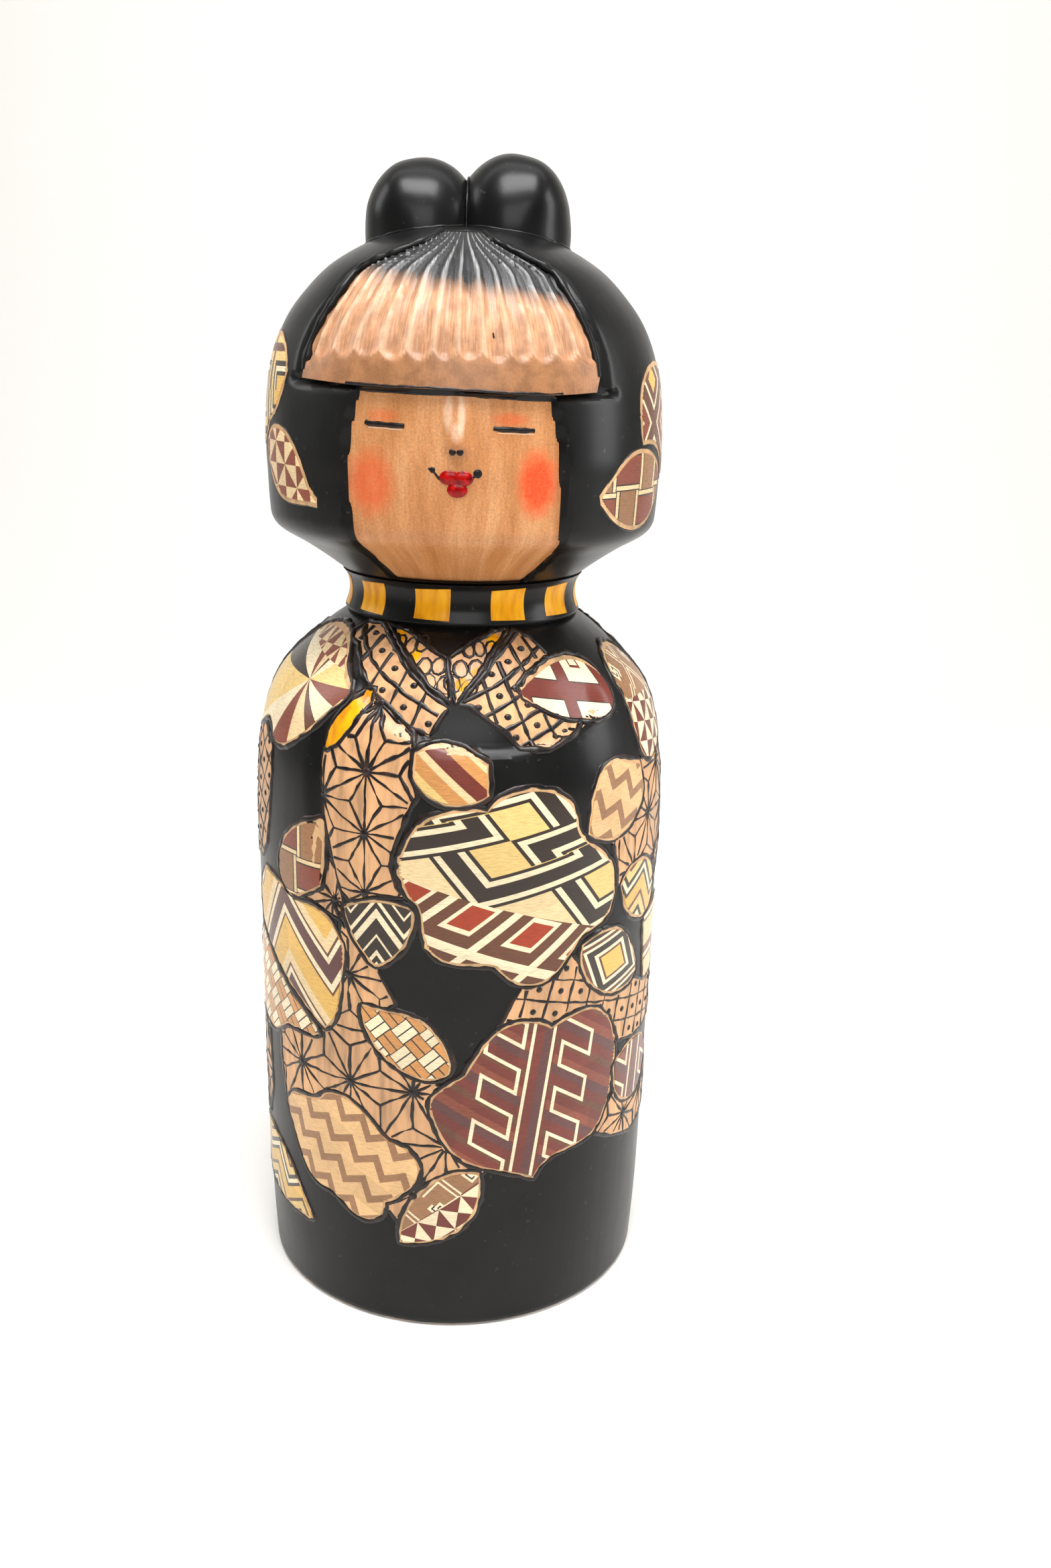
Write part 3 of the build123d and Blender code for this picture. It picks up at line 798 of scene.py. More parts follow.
STAR_BANDS = [
    (0.0, "straw"), (0.09, "white"), (0.17, "walnut"), (0.21, "cream"), (0.30, "brick"),
    (0.37, "white"), (0.45, "wenge"), (0.49, "straw"), (0.58, "white"), (0.66, "brick"),
    (0.74, "cream"), (0.83, "walnut"), (0.88, "white"), (0.95, "brick"),
]
BLOCK_BANDS = [
    (0.0, "rose"), (0.2, "tan"), (0.36, "cream"), (0.46, "taupe"), (0.58, "straw"), (0.72, "tan"),
    (0.9, "cream"),
]
PANEL_BANDS = [(0.0, "cream"), (0.62, "walnut"), (0.68, "white"), (0.80, "brick")]

finishes = {
    "dark_fret": interlocked_finish("parquet_dark_fret", -12, 0.48, (14, 11.2), DARK_FRET, -10, (-1.5, 9.4)),
    "red_fret": fret_finish("parquet_red_fret", 20, -0.62, (11.5, 13), (0, 0), RED_FRET, 20, (-8.0, -4.4)),
    "lap_fret": key_finish("parquet_lap_fret", -0.14, 2.6, 4.5, 8.2),
    "gold_fret": fret_finish("parquet_gold_fret", -12, 0.2, (13, 11), (0, 0), GOLD_FRET, 10),
    "temple_fret": fret_finish("parquet_temple_fret", 0, 0.1, (12, 14), (0.06, 0), WAIST_BANDS, 90),
    "spiral": fret_finish("parquet_spiral", 40, 0.0, (9.5, 9.5), (0.04, 0), SPIRAL_BANDS, 0),
    "hip": chevron_finish("parquet_hip", -8, 11.0, 1.25, 17.0, HIP_BANDS, 0),
    "sleeve": chevron_finish("parquet_sleeve", 0, 5.0, 1.3, 10.0, SLEEVE_BANDS, 60),
    "waist": chevron_finish("parquet_waist", 15, 5.5, 0.9, 9.0, WAIST_BANDS, 20),
    "panel": chevron_finish("parquet_panel", 25, 9.0, 0.5, 9.0, PANEL_BANDS, 0),
    "block": chevron_finish("parquet_block", 42, 40.0, 0.0, 12.5, BLOCK_BANDS, 30),
    "star": star_finish("parquet_star", (5.5, 2.0)),
    "steps": chevron_finish("parquet_steps", 28, 3.0, 1.0, 5.6, STEP_BANDS, 0),
    "basket": basket_finish("parquet_basket", 0, 7.0, ("taupe", "brick"), "cream"),
    "pinwheel": pinwheel_finish("parquet_pinwheel", 0, 7.4, "cream", "brick"),
    "pinwheel_dark": pinwheel_finish("parquet_pinwheel_dark", 8, 7.0, "white", "rose"),
    "herringbone": weave_finish("parquet_herringbone", -42, 3.6),
    "cross": cross_finish("parquet_cross", 8, 10.5),
}
diamond_parquet = Parquet("parquet_diamond")
diamond_woods = diamond_parquet.strips(diamond_parquet.diamonds(13, 1.1), DIAMOND_BANDS)
finishes["diamond"] = diamond_parquet.done(diamond_woods, 0, 6)

# inlay: first finish, second finish, and the azimuth, height and slope of the line between
# them, in degrees; the second lies below the line
INLAY_PLAN = {
    "shoulder_star_left": ("pinwheel", "star", (-60, 125.0, -8)),
    "elbow_basket_left": ("basket", None, None),
    "sleeve_stripe": ("sleeve", None, None),
    "hip_chevron": ("hip", None, None),
    "hip_herringbone": ("herringbone", None, None),
    "heart_fret": ("dark_fret", "red_fret", (14, 84.7, -18)),
    "breast_cross": ("cross", None, None),
    "shoulder_spiral_right": ("spiral", "pinwheel_dark", (72, 117.5, 0)),
    "sleeve_zigzag": ("steps", None, None),
    "waist_chevron_right": ("waist", None, None),
    "hip_meander_right": ("gold_fret", None, None),
    "side_panel_right": ("panel", None, None),
    "waist_herringbone": ("herringbone", None, None),
    "lap_fret": ("lap_fret", None, None),
    "knee_fret_right": ("lap_fret", None, None),
    "hem_zigzag_left": ("steps", None, None),
    "hem_leaf": ("spiral", "pinwheel_dark", (-2, 26, 38)),
    "hem_chevron_left": ("waist", None, None),
    "sash_block": ("block", None, None),
    "back_shoulder_star": ("star", "pinwheel", (120, 119, 8)),
    "back_elbow_basket": ("basket", None, None),
    "back_sleeve_stripe": ("sleeve", None, None),
    "back_hip_chevron": ("hip", None, None),
    "back_heart_fret": ("red_fret", "dark_fret", (194, 90, 12)),
    "back_breast_cross": ("cross", None, None),
    "back_shoulder_spiral": ("spiral", "pinwheel_dark", (252, 117, 0)),
    "back_sleeve_zigzag": ("steps", None, None),
    "back_waist_herringbone": ("herringbone", None, None),
    "back_lap_fret": ("lap_fret", "gold_fret", (204, 47, -20)),
    "back_hem_zigzag": ("steps", None, None),
    "back_hem_leaf": ("spiral", "pinwheel", (178, 26, 38)),
    "back_hem_chevron": ("waist", None, None),
}


def lay_inlay(node, body, skin, side, span, first, second, line, rims, borders):
    """Lays one inlay in its recess, with a bare rim round it that the lacquer doesn't cover."""
    outline = inlay_outline(node, side)
    sheet = laid_sheet(node + "_parquetry", outline, skin, span, INLAY_LIFT, GRID_STEP, INLAY_THICKNESS, line)
    sheet.data.materials.append(finishes[first])
    if second:
        sheet.data.materials.append(finishes[second])
        azimuth, height, slope = line
        for face in sheet.data.polygons:
            x, y, z = face.center / MM
            across = math.degrees(math.atan2(x, -y)) - azimuth
            across = math.radians((across + 180) % 360 - 180) * span
            face.material_index = int(z < height + across * math.tan(math.radians(slope)))
    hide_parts(node)
    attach(sheet, body)
    rim = widened(thinned(outline, span, 0.7), span, RIM_WIDTH)
    rims.append(laid_sheet(node + "_rim", rim, skin, span, RIM_LIFT, GRID_STEP))
    borders.append(rim + rim[:1])


RIM_WIDTH = 0.75
RIM_LIFT = 0.1
body_rims = []
body_borders = []
for node, (first, second, line) in INLAY_PLAN.items():
    lay_inlay(node, "torso", on_body, body_side, BODY_SPAN, first, second, line, body_rims, body_borders)
body_rim_piece = join_pieces("body_inlay_rims", body_rims)
body_rim_piece.data.materials.append(bare_wood("rim_wood", (0.60, 0.36, 0.17, 1)))
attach(body_rim_piece, "torso")

# ---------------------------------------------------------------------------------------
# The yellow places: a strip of bare wood on the left sleeve, edged like the inlays, and a
# few spots between the pebbles of the collar, all brushed with yellow stain.
# ---------------------------------------------------------------------------------------
YELLOW_STRIP = [
    (-38.4, 110), (-37, 113.5), (-33.5, 117.5), (-29, 120.6), (-25.8, 120.8), (-25.6, 118.6),
    (-28.6, 115), (-33, 111.4), (-36, 110),
]
STAIN_LIFT = 0.12
STAIN_TONES = [(0.3, (0.50, 0.17, 0.0, 1)), (0.5, (0.78, 0.33, 0.001, 1)), (0.7, (0.90, 0.46, 0.006, 1))]


def yellow_stain(name):
    """Yellow stain brushed over bare wood, deeper where it pools, clear varnish on top."""
    finish = Finish(name, Coat_Weight=0.1, Coat_Roughness=0.2, Specular_IOR_Level=0.2)
    place = finish.node("TexCoord", {}, "Object")
    grain = finish.speckle(place, 500, 5, (1, 1, 0.15))
    colour = finish.ramp(grain, STAIN_TONES)
    finish.feed("Base Color", colour)
    finish.feed("Roughness", finish.ramp(grain, [(0.3, 0.45), (0.7, 0.32)]))
    finish.bump(grain, 0.00008, 0.5)
    return finish.material


tint = yellow_stain("yellow_stain")
strip = laid_sheet("yellow_strip", smooth_curve(YELLOW_STRIP, 3), on_body, BODY_SPAN, STAIN_LIFT, GRID_STEP)
strip.data.materials.append(tint)
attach(strip, "torso")
body_borders.append(YELLOW_STRIP + YELLOW_STRIP[:1])

COLLAR_SPOTS = [
    (-25, 128.7, 2.0), (-15, 126.6, 1.4), (15.5, 128.9, 1.8), (7.5, 124.2, 1.3), (2.6, 122.6, 1.5),
]
SPOT_SIDES = 12
SPOT_TALL = 0.7
spots = []
for azimuth, height, size in COLLAR_SPOTS:
    oval = []
    for n in range(SPOT_SIDES):
        across, up = math.cos(math.tau * n / SPOT_SIDES), math.sin(math.tau * n / SPOT_SIDES)
        oval.append((azimuth + math.degrees(size * across / BODY_SPAN), height + SPOT_TALL * size * up))
    spots.append(laid_sheet("collar_spot", oval, on_body, BODY_SPAN, STAIN_LIFT, CARVED_STEP))
collar_spots = join_pieces("collar_spots", spots)
collar_spots.data.materials.append(tint)
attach(collar_spots, "torso")

# ---------------------------------------------------------------------------------------
# The burnt lines: drawn freehand with a hot wire, so they wander, swell where the wire
# rests, and shine where the char is lacquered. They edge every field and inlay.
# ---------------------------------------------------------------------------------------
LINE_STEP = 0.8
LINE_SINK = 0.62
BORDER_WIDTH = 1.5
PATTERN_WIDTH = 1.2
PEBBLE_WIDTH = 0.75
PEBBLE_SPACING = 3.4
PEBBLE_SIDES = 9
DOT_SIZE = (0.78, 0.7)
KNOT_SIZE = (1.15, 1.05)


def inside(outline, azimuth, height):
    """Whether a place lies in an outline."""
    hit = False
    for (a0, h0), (a1, h1) in zip(outline, outline[1:] + outline[:1]):
        if (h0 > height) != (h1 > height) and azimuth < a0 + (height - h0) / (h1 - h0) * (a1 - a0):
            hit = not hit
    return hit


def walked(line, span, step):
    """Evenly spaced places along a line."""
    places = [line[0]]
    for (a0, h0), (a1, h1) in zip(line, line[1:]):
        length = math.hypot(math.radians(a1 - a0) * span, h1 - h0)
        count = max(1, round(length / step))
        places += [(a0 + (a1 - a0) * n / count, h0 + (h1 - h0) * n / count) for n in range(1, count + 1)]
    return places


def under_inlay(azimuth, height):
    """Whether an inlay of the body covers a place."""
    for border in body_borders:
        middle = border[0][0]
        if inside(border[:-1], middle + (azimuth - middle + 180) % 360 - 180, height):
            return True
    return False


def clipped(line, outline, span):
    """The stretches of a line that lie in an outline and aren't covered by an inlay."""
    runs, run = [], []
    for place in walked(line, span, LINE_STEP):
        if (not outline or inside(outline, *place)) and not under_inlay(*place):
            run.append(place)
        else:
            runs.append(run)
            run = []
    runs.append(run)
    return [run for run in runs if len(run) > 1]


def hemp_leaf(outline, centre, spacing, tilt):
    """A net of triangles, in each a line from its middle to every corner, and the net's knots."""
    lines, knots = [], []
    cosine, sine = math.cos(math.radians(tilt)), math.sin(math.radians(tilt))

    def spot(i, j):
        x, y = spacing * (i + j / 2), spacing * j * math.sqrt(0.75)
        across, up = x * cosine - y * sine, x * sine + y * cosine
        return centre[0] + math.degrees(across / BODY_SPAN), centre[1] + up

    reach = 6
    third = 1 / 3
    for i in range(-reach, reach):
        for j in range(-reach, reach):
            if inside(outline, *spot(i, j)) and not under_inlay(*spot(i, j)):
                knots.append(spot(i, j))
            for corner in ((i + 1, j), (i, j + 1)):
                lines += clipped([spot(i, j), spot(*corner)], outline, BODY_SPAN)
            lines += clipped([spot(i + 1, j), spot(i, j + 1)], outline, BODY_SPAN)
            for corners, middle in (
                (((i, j), (i + 1, j), (i, j + 1)), (i + third, j + third)),
                (((i + 1, j + 1), (i + 1, j), (i, j + 1)), (i + 2 * third, j + 2 * third)),
            ):
                for corner in corners:
                    lines += clipped([spot(*middle), spot(*corner)], outline, BODY_SPAN)
    return lines, knots


def dotted_squares(outline, centre, cell, tilt):
    """A net of squares and a dot in the middle of each."""
    lines, dots = [], []
    cosine, sine = math.cos(math.radians(tilt)), math.sin(math.radians(tilt))

    def spot(i, j):
        x, y = cell[0] * i, cell[1] * j
        across, up = x * cosine - y * sine, x * sine + y * cosine
        return centre[0] + math.degrees(across / BODY_SPAN), centre[1] + up

    reach = 9
    for i in range(-reach, reach):
        for j in range(-reach, reach):
            lines += clipped([spot(i, j), spot(i + 1, j)], outline, BODY_SPAN)
            lines += clipped([spot(i, j), spot(i, j + 1)], outline, BODY_SPAN)
            azimuth, height = spot(i + 0.5, j + 0.5)
            round_about = ((-1, 0), (1, 0), (0, 0.6), (0, -0.6))
            if all(inside(outline, azimuth + a, height + h) for a, h in round_about):
                if not under_inlay(azimuth, height):
                    dots.append((azimuth, height))
    return lines, dots


def pebbles(outline, spacing):
    """Small ovals packed in an outline."""
    loops = []
    low_a, high_a = min(a for a, _ in outline), max(a for a, _ in outline)
    low_h, high_h = min(h for _, h in outline), max(h for _, h in outline)
    for row in range(math.ceil((high_h - low_h) / (spacing * 0.8)) + 1):
        for column in range(math.ceil(math.radians(high_a - low_a) * BODY_SPAN / spacing) + 1):
            azimuth = low_a + math.degrees(spacing * (column + 0.5 * (row % 2)) / BODY_SPAN)
            height = low_h + row * spacing * 0.8
            azimuth += 1.5 * noise.noise(Vector((azimuth, height, 5)))
            height += 0.8 * noise.noise(Vector((azimuth, height, 9)))
            if inside(outline, azimuth, height):
                size = spacing * (0.43 + 0.1 * noise.noise(Vector((azimuth, height, 2))))
                loop = []
                for n in range(PEBBLE_SIDES + 1):
                    turn = math.tau * n / PEBBLE_SIDES
                    across = math.degrees(1.15 * size * math.cos(turn) / BODY_SPAN)
                    loop.append((azimuth + across, height + 0.85 * size * math.sin(turn)))
                loops += clipped(loop, None, BODY_SPAN)
    return loops


CHAR_TONES = [
    (0.3, (0.004, 0.003, 0.003, 1)), (0.6, (0.012, 0.006, 0.004, 1)), (0.78, (0.06, 0.018, 0.008, 1)),
]


def burnt_char(name):
    """Char under varnish: nearly black, red-brown where it thins, and unevenly shiny."""
    finish = Finish(name, Coat_Weight=0.15, Coat_Roughness=0.2, Specular_IOR_Level=0.3)
    place = finish.node("TexCoord", {}, "Object")
    cloud = finish.speckle(place, 420, 4)
    colour = finish.ramp(cloud, CHAR_TONES)
    finish.feed("Base Color", colour)
    finish.feed("Roughness", finish.ramp(cloud, [(0.3, 0.25), (0.7, 0.5)]))
    finish.bump(finish.speckle(place, 1500, 3), 0.0001, 0.6)
    return finish.material


def tubes(name, runs, roundness, material, body):
    """Round beads along runs of (place, half width), made one mesh."""
    bpy.ops.object.select_all(action="DESELECT")
    bpy.ops.curve.primitive_bezier_curve_add()
    piece = bpy.context.object
    piece.name = name
    piece.data.splines.clear()
    piece.data.bevel_depth = MM
    piece.data.bevel_resolution = roundness
    piece.data.use_fill_caps = True
    for run in runs:
        spline = piece.data.splines.new("POLY")
        spline.points.add(len(run) - 1)
        for point, (place, half) in zip(spline.points, run):
            point.co = (*place, 1)
            point.radius = half
    bpy.ops.object.convert(target="MESH")
    piece = bpy.context.object
    bpy.ops.object.shade_smooth()
    piece.data.materials.clear()
    piece.data.materials.append(material)
    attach(piece, body)


def burnt_lines(name, lines, skin, span, width, body, material, wander=0.22, sink=LINE_SINK):
    """Raises freehand lines on a skin, each thick and thin by turns."""
    runs = []
    for line in lines:
        run = []
        for azimuth, height in walked(line, span, LINE_STEP):
            spot = Vector((math.radians(azimuth) * span, height, width))
            across = wander * noise.noise(spot * 0.45)
            up = wander * noise.noise(spot * 0.45 + Vector((40, 0, 0)))
            half = width / 2 * (1 + 0.55 * noise.noise(spot * 0.6 + Vector((0, 70, 0))))
            run.append((skin(azimuth + math.degrees(across / span), height + up, -sink * half), half))
        runs.append(run)
    tubes(name, runs, 1, material, body)


def drops(name, spots, skin, proud, material, body, lift=0.0, segments=24):
    """Drops of thick paint: flattened balls set in a skin; spots are (place, (wide, tall))."""
    balls = []
    for (azimuth, height), (wide, tall) in spots:
        bpy.ops.object.select_all(action="DESELECT")
        bpy.ops.mesh.primitive_uv_sphere_add(segments=segments, ring_count=segments // 2, radius=MM)
        ball = bpy.context.object
        bpy.ops.object.mode_set(mode="EDIT")
        bpy.ops.mesh.select_all(action="SELECT")
        origin = (0, 0, 0)
        bpy.ops.transform.resize(value=(wide, proud, tall), center_override=origin)
        bpy.ops.transform.rotate(value=-math.radians(azimuth), orient_axis="Z", center_override=origin)
        bpy.ops.transform.translate(value=skin(azimuth, height, lift))
        bpy.ops.object.mode_set(mode="OBJECT")
        bpy.ops.object.shade_smooth()
        balls.append(ball)
    piece = join_pieces(name, balls)
    piece.data.materials.append(material)
    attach(piece, body)
    return piece


char = burnt_char("burnt_char")
HEMP_NETS = {
    "hemp_sleeve": ((-22.5, 108), 10.7, 90),
    "hemp_cuff": ((-32, 84), 10.0, 20),
    "hemp_lap": ((-46, 49.4), 12.2, 0),
    "hemp_forearm": ((66, 96), 10.5, 0),
    "hemp_knee": ((60, 36), 10.0, 10),
    "hemp_flank": ((-80, 41), 11.0, 0),
}
DOT_NETS = {
    "dot_sleeve": ((-63, 105), (4.2, 4.4), -28),
    "dot_lapel_left": ((-26, 123.6), (5.8, 3.7), -23),
    "dot_lapel_right": ((10, 121.4), (4.8, 3.5), 21),
    "dot_sash": ((27, 66.2), (4.5, 4.3), -14),
}
pattern_lines, pattern_knots, pattern_dots, field_edges, pebble_lines = [], [], [], [], []
for turn in (0, HALF_TURN):
    for name, outline in FIELDS.items():
        if turn and name in FRONT_ONLY:
            continue
        area = [(azimuth + turn, height) for azimuth, height in outline]
        field_edges += clipped(area + area[:1], None, BODY_SPAN)
        if name in HEMP_NETS:
            (azimuth, height), spacing, tilt = HEMP_NETS[name]
            lines, knots = hemp_leaf(area, (azimuth + turn, height), spacing, tilt)
            pattern_lines += lines
            pattern_knots += knots
        elif name in DOT_NETS:
            (azimuth, height), cell, tilt = DOT_NETS[name]
            lines, dots = dotted_squares(area, (azimuth + turn, height), cell, tilt)
            pattern_lines += lines
            pattern_dots += dots
        else:
            pebble_lines += pebbles(area, PEBBLE_SPACING)
burnt_lines("burnt_pattern", pattern_lines, on_body, BODY_SPAN, PATTERN_WIDTH, "torso", char)
drops("burnt_dots", [(dot, DOT_SIZE) for dot in pattern_dots], on_body, 0.55, char, "torso", -0.2, 10)
drops("burnt_knots", [(knot, KNOT_SIZE) for knot in pattern_knots], on_body, 0.8, char, "torso", -0.4, 10)
burnt_lines("burnt_pebbles", pebble_lines, on_body, BODY_SPAN, PEBBLE_WIDTH, "torso", char)
burnt_lines("burnt_field_edges", field_edges, on_body, BODY_SPAN, BORDER_WIDTH, "torso", char)
burnt_lines("burnt_body_borders", body_borders, on_body, BODY_SPAN, BORDER_WIDTH, "torso", char, 0.28)

# ---------------------------------------------------------------------------------------
# The neck band: a turned ring with a lip at its foot and a flare at its top, lacquered
# black with squares of yellow stain left showing the grain.
# ---------------------------------------------------------------------------------------
BAND_CURVE = [
    (21.3, 130.5), (21.7, 131.2), (21.5, 131.9), (21.0, 133.4), (20.9, 135.2), (21.3, 136.9),
    (22.1, 138.05),
]
BAND_SPAN = 21.0
BAND_BORE = 12.1
SQUARE_AZIMUTHS = [-46.5, -12, 24.5, 55, 87, 119, 152, 184, 216, 249, 281]
SQUARE_HALF = 8.6
SQUARE_LIFT = 0.05
SQUARE_GRID = 1.2
SQUARE_THICKNESS = 0.3
band_side = smooth_curve(BAND_CURVE, 6)


def on_band(azimuth, height, lift=0.0):
    """A point on the neck band."""
    return round_axis(azimuth, read_off(band_side, height) + lift, height)


band_foot, band_rim = BAND_CURVE[0][1], BAND_CURVE[-1][1]
band_outline = [(BAND_BORE, band_foot), *band_side, (BAND_BORE, band_rim), (BAND_BORE, band_foot)]
neck_band = turned_piece("neck_band_ring", band_outline, 160)
bpy.ops.object.shade_smooth_by_angle(angle=math.radians(35))
neck_band.data.materials.append(black_lacquer("lacquer_band"))
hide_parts("neck_band")
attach(neck_band, "torso")
squares = []
for azimuth in SQUARE_AZIMUTHS:
    slip = 1.0 * noise.noise(Vector((azimuth, 3.3, 0)))
    corners = [
        (azimuth - SQUARE_HALF - slip, 131.9),
        (azimuth + SQUARE_HALF - slip, 131.7),
        (azimuth + SQUARE_HALF + slip, 137.3),
        (azimuth - SQUARE_HALF + slip, 137.0),
    ]
    outline = walked(corners + corners[:1], BAND_SPAN, 1.0)[:-1]
    square = ("yellow_square", outline, on_band, BAND_SPAN)
    squares.append(laid_sheet(*square, SQUARE_LIFT, SQUARE_GRID, SQUARE_THICKNESS))
yellow_squares = join_pieces("yellow_squares", squares)
yellow_squares.data.materials.append(tint)
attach(yellow_squares, "torso")

# ---------------------------------------------------------------------------------------
# The head block: one turned piece, flat under the jaw and domed above, with the face sunk
# so that the side locks stand proud of it. A slit parts each lock from the fringe, and a
# groove runs up each side of the fringe. Black lacquer, rubbed to a soft shine.
# ---------------------------------------------------------------------------------------
HEAD_BASE = 138.4
HEAD_CURVE = [
    (22.1, HEAD_BASE),
    (25.4, 140.8),
    (29.2, 143.3),
    (33.2, 145.6),
    (34.7, 147.4),
    (35.1, 150),
    (35.35, 155),
    (35.5, 161),
    (34.7, 172),
    (32.3, 180),
    (28.3, 186),
    (22.3, 191.5),
    (12.6, 196),
    (0, 197.5),
]
HEAD_SPAN = 35.0
HEAD_STEPS = 300
FACE_SUNK = 1.3
FACE_LEFT = [(-31, 138), (-32, 142), (-31, 147), (-32.3, 155), (-31.5, 163), (-29, 170.5), (-28.6, 173)]
FACE_RIGHT = [(31, 138), (34, 142), (31.6, 148), (30.9, 155), (29.6, 163), (27.2, 169.5), (27, 173)]
FRINGE_FOOT = [(-60, 172.2), (-48, 171.9), (-26, 171.2), (0, 170.9), (24, 170.4), (41, 170.9), (60, 171.2)]
FRINGE_LEFT = -48.0
FRINGE_RIGHT = 41.5
FRINGE_TOP = 195.6
SLITS = [(-55, -26), (24, 49)]
SLIT_DEPTH = 1.3
GROOVE_DEPTH = 0.9
FRINGE_BED = 1.6  # the fringe is a piece of skin of its own, laid over this
JAW_ROW = 0.35
CHEEK_FROM = 146.2
CHEEK_ROW = 0.55
CROWN_FROM = 195.8

head_side = smooth_curve(HEAD_CURVE)
face_left = smooth_curve(FACE_LEFT)
face_right = smooth_curve(FACE_RIGHT)
fringe_foot = smooth_curve(FRINGE_FOOT)


def fan(height):
    """How much the locks of the fringe have drawn together at a height."""
    return (1 - 0.1 * ease(height, 175, 190)) * (1 - 0.62 * ease(height, 188.5, 196))


def head_carving(azimuth, height):
    """How deep the knife has gone below the turned head, in millimetres."""
    if abs(azimuth) > 75:
        return 0
    foot = read_off(fringe_foot, azimuth, 0, 1)
    left, right = read_off(face_left, height), read_off(face_right, height)
    sides = ease(azimuth, left - 0.4, left + 1.0) * (1 - ease(azimuth, right - 1.0, right + 0.4))
    face = FACE_SUNK * sides * (1 - ease(height, foot - 0.8, foot - 0.2))
    slit = 0
    for low, high in SLITS:
        reach = ease(azimuth, low, low + 4) * (1 - ease(azimuth, high - 3, high))
        slit += SLIT_DEPTH * reach * math.exp(-(((height - foot + 0.3) / 0.55) ** 2))
    grooves = 0
    for edge in (FRINGE_LEFT - 1.6, FRINGE_RIGHT + 1.8):
        across = (azimuth / fan(height) - edge) / 1.5
        grooves += GROOVE_DEPTH * math.exp(-(across**2)) * ease(height, foot - 0.5, foot + 0.5)
    lock = azimuth / fan(height)
    bed = ease(lock, FRINGE_LEFT - 0.6, FRINGE_LEFT + 1)
    bed *= 1 - ease(lock, FRINGE_RIGHT - 1, FRINGE_RIGHT + 0.6)
    bed *= FRINGE_BED * ease(height, foot - 0.3, foot + 0.6)
    bed *= 1 - ease(height, FRINGE_TOP - 0.8, FRINGE_TOP + 0.4)
    return max(face, slit, grooves * (1 - ease(height, 184, 193)), bed)


def on_head(azimuth, height, lift=0.0):
    """A point on the carved head."""
    carved = head_carving((azimuth + 180) % 360 - 180, height)
    return round_axis(azimuth, read_off(head_side, height) - carved + lift, height)


head_outline = [(0, HEAD_BASE), (12, HEAD_BASE), (22.1, HEAD_BASE)]
head_rows = [HEAD_BASE + JAW_ROW * step for step in range(1, 22)]
head_rows += [CHEEK_FROM + CHEEK_ROW * step for step in range(90)]
head_outline += [(read_off(head_side, height), height) for height in head_rows]
head_outline += [(radius, height) for radius, height in head_side if height > CROWN_FROM]
head_block = turned_piece("lacquered_head", head_outline, HEAD_STEPS)
for vertex in head_block.data.vertices:
    x, y, z = vertex.co / MM
    if z > HEAD_BASE + 0.2 and math.hypot(x, y) > 10:
        vertex.co = on_head(math.degrees(math.atan2(x, -y)), z)
bpy.ops.object.shade_smooth_by_angle(angle=math.radians(35))
hair_lacquer = black_lacquer("lacquer_hair")
head_block.data.materials.append(hair_lacquer)
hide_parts("head_block")
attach(head_block, "head")

# ---------------------------------------------------------------------------------------
# The face: bare wood under clear varnish, sunk between the locks, with a small carved
# nose. Cheeks and eyelids are rubbed with orange stain. The nose has painted highlights on
# its flanks and ridge, and painted shade under its tip and beside it.
# ---------------------------------------------------------------------------------------
NOSE_TOP = 170.5
NOSE_TIP = 162.6
NOSE_FOOT = 161.0
NOSE_PROUD = 1.0
CHEEKS = [((-24.2, 155.9), (4.5, 5.4), 0.6), ((22.8, 156.4), (3.6, 5.3), 1.0)]
EYELIDS = [((-20.5, 166.6), (3.1, 1.1), 0.34), ((14.8, 166.5), (3.1, 1.1), 0.42)]
# Painted highlights: pale streaks down the nose's flanks and a pale spot on its ridge, standing for light on
# the carved nose.
PAINTED_NOSE_HIGHLIGHTS = [
    ((-2.1, 167.4), (0.8, 3.1), 0.34), ((1.5, 167.0), (0.65, 3.5), 0.4),
    ((0.1, 164.4), (0.9, 1.6), 0.3),
]
# Painted shade: darker wood under the nose's tip and beside its flanks, standing for the shade the carved
# nose casts.
PAINTED_NOSE_SHADE = [
    ((0.2, 161.9), (2.1, 1.5), 0.4), ((-2.6, 164.5), (0.7, 2.0), 0.3), ((3.0, 164.5), (0.7, 2.0), 0.3),
]
ORANGE_STAIN = (0.72, 0.06, 0.006, 1)
OVAL_EDGE = 0.62
FACE_INSET = 0.5
FACE_TONES = [(0.32, (0.42, 0.165, 0.05, 1)), (0.5, (0.52, 0.22, 0.078, 1)), (0.68, (0.60, 0.29, 0.12, 1))]
# The colour of the painted shade round the nose.
PAINTED_NOSE_SHADE_TONE = (0.30, 0.12, 0.045, 1)
# The colour of the painted nose highlights.
PAINTED_HIGHLIGHT_TONE = (0.95, 0.76, 0.58, 1)


def on_face(azimuth, height, lift=0.0):
    """A point on the sunk face, nose and all."""
    width = 1.9 + 0.9 * ease(height, NOSE_TIP, NOSE_TOP)
    rise = ease(height, NOSE_FOOT - 0.7, NOSE_FOOT + 1.0) * (1 - 0.9 * ease(height, NOSE_TIP, NOSE_TOP))
    nose = NOSE_PROUD * rise * math.exp(-((abs(azimuth - 0.3) / width / 1.6) ** 3))
    end = 1 - ease(height, NOSE_TOP - 0.5, NOSE_TOP + 0.8)
    return round_axis(azimuth, read_off(head_side, height) - FACE_SUNK + nose * end + lift, height)


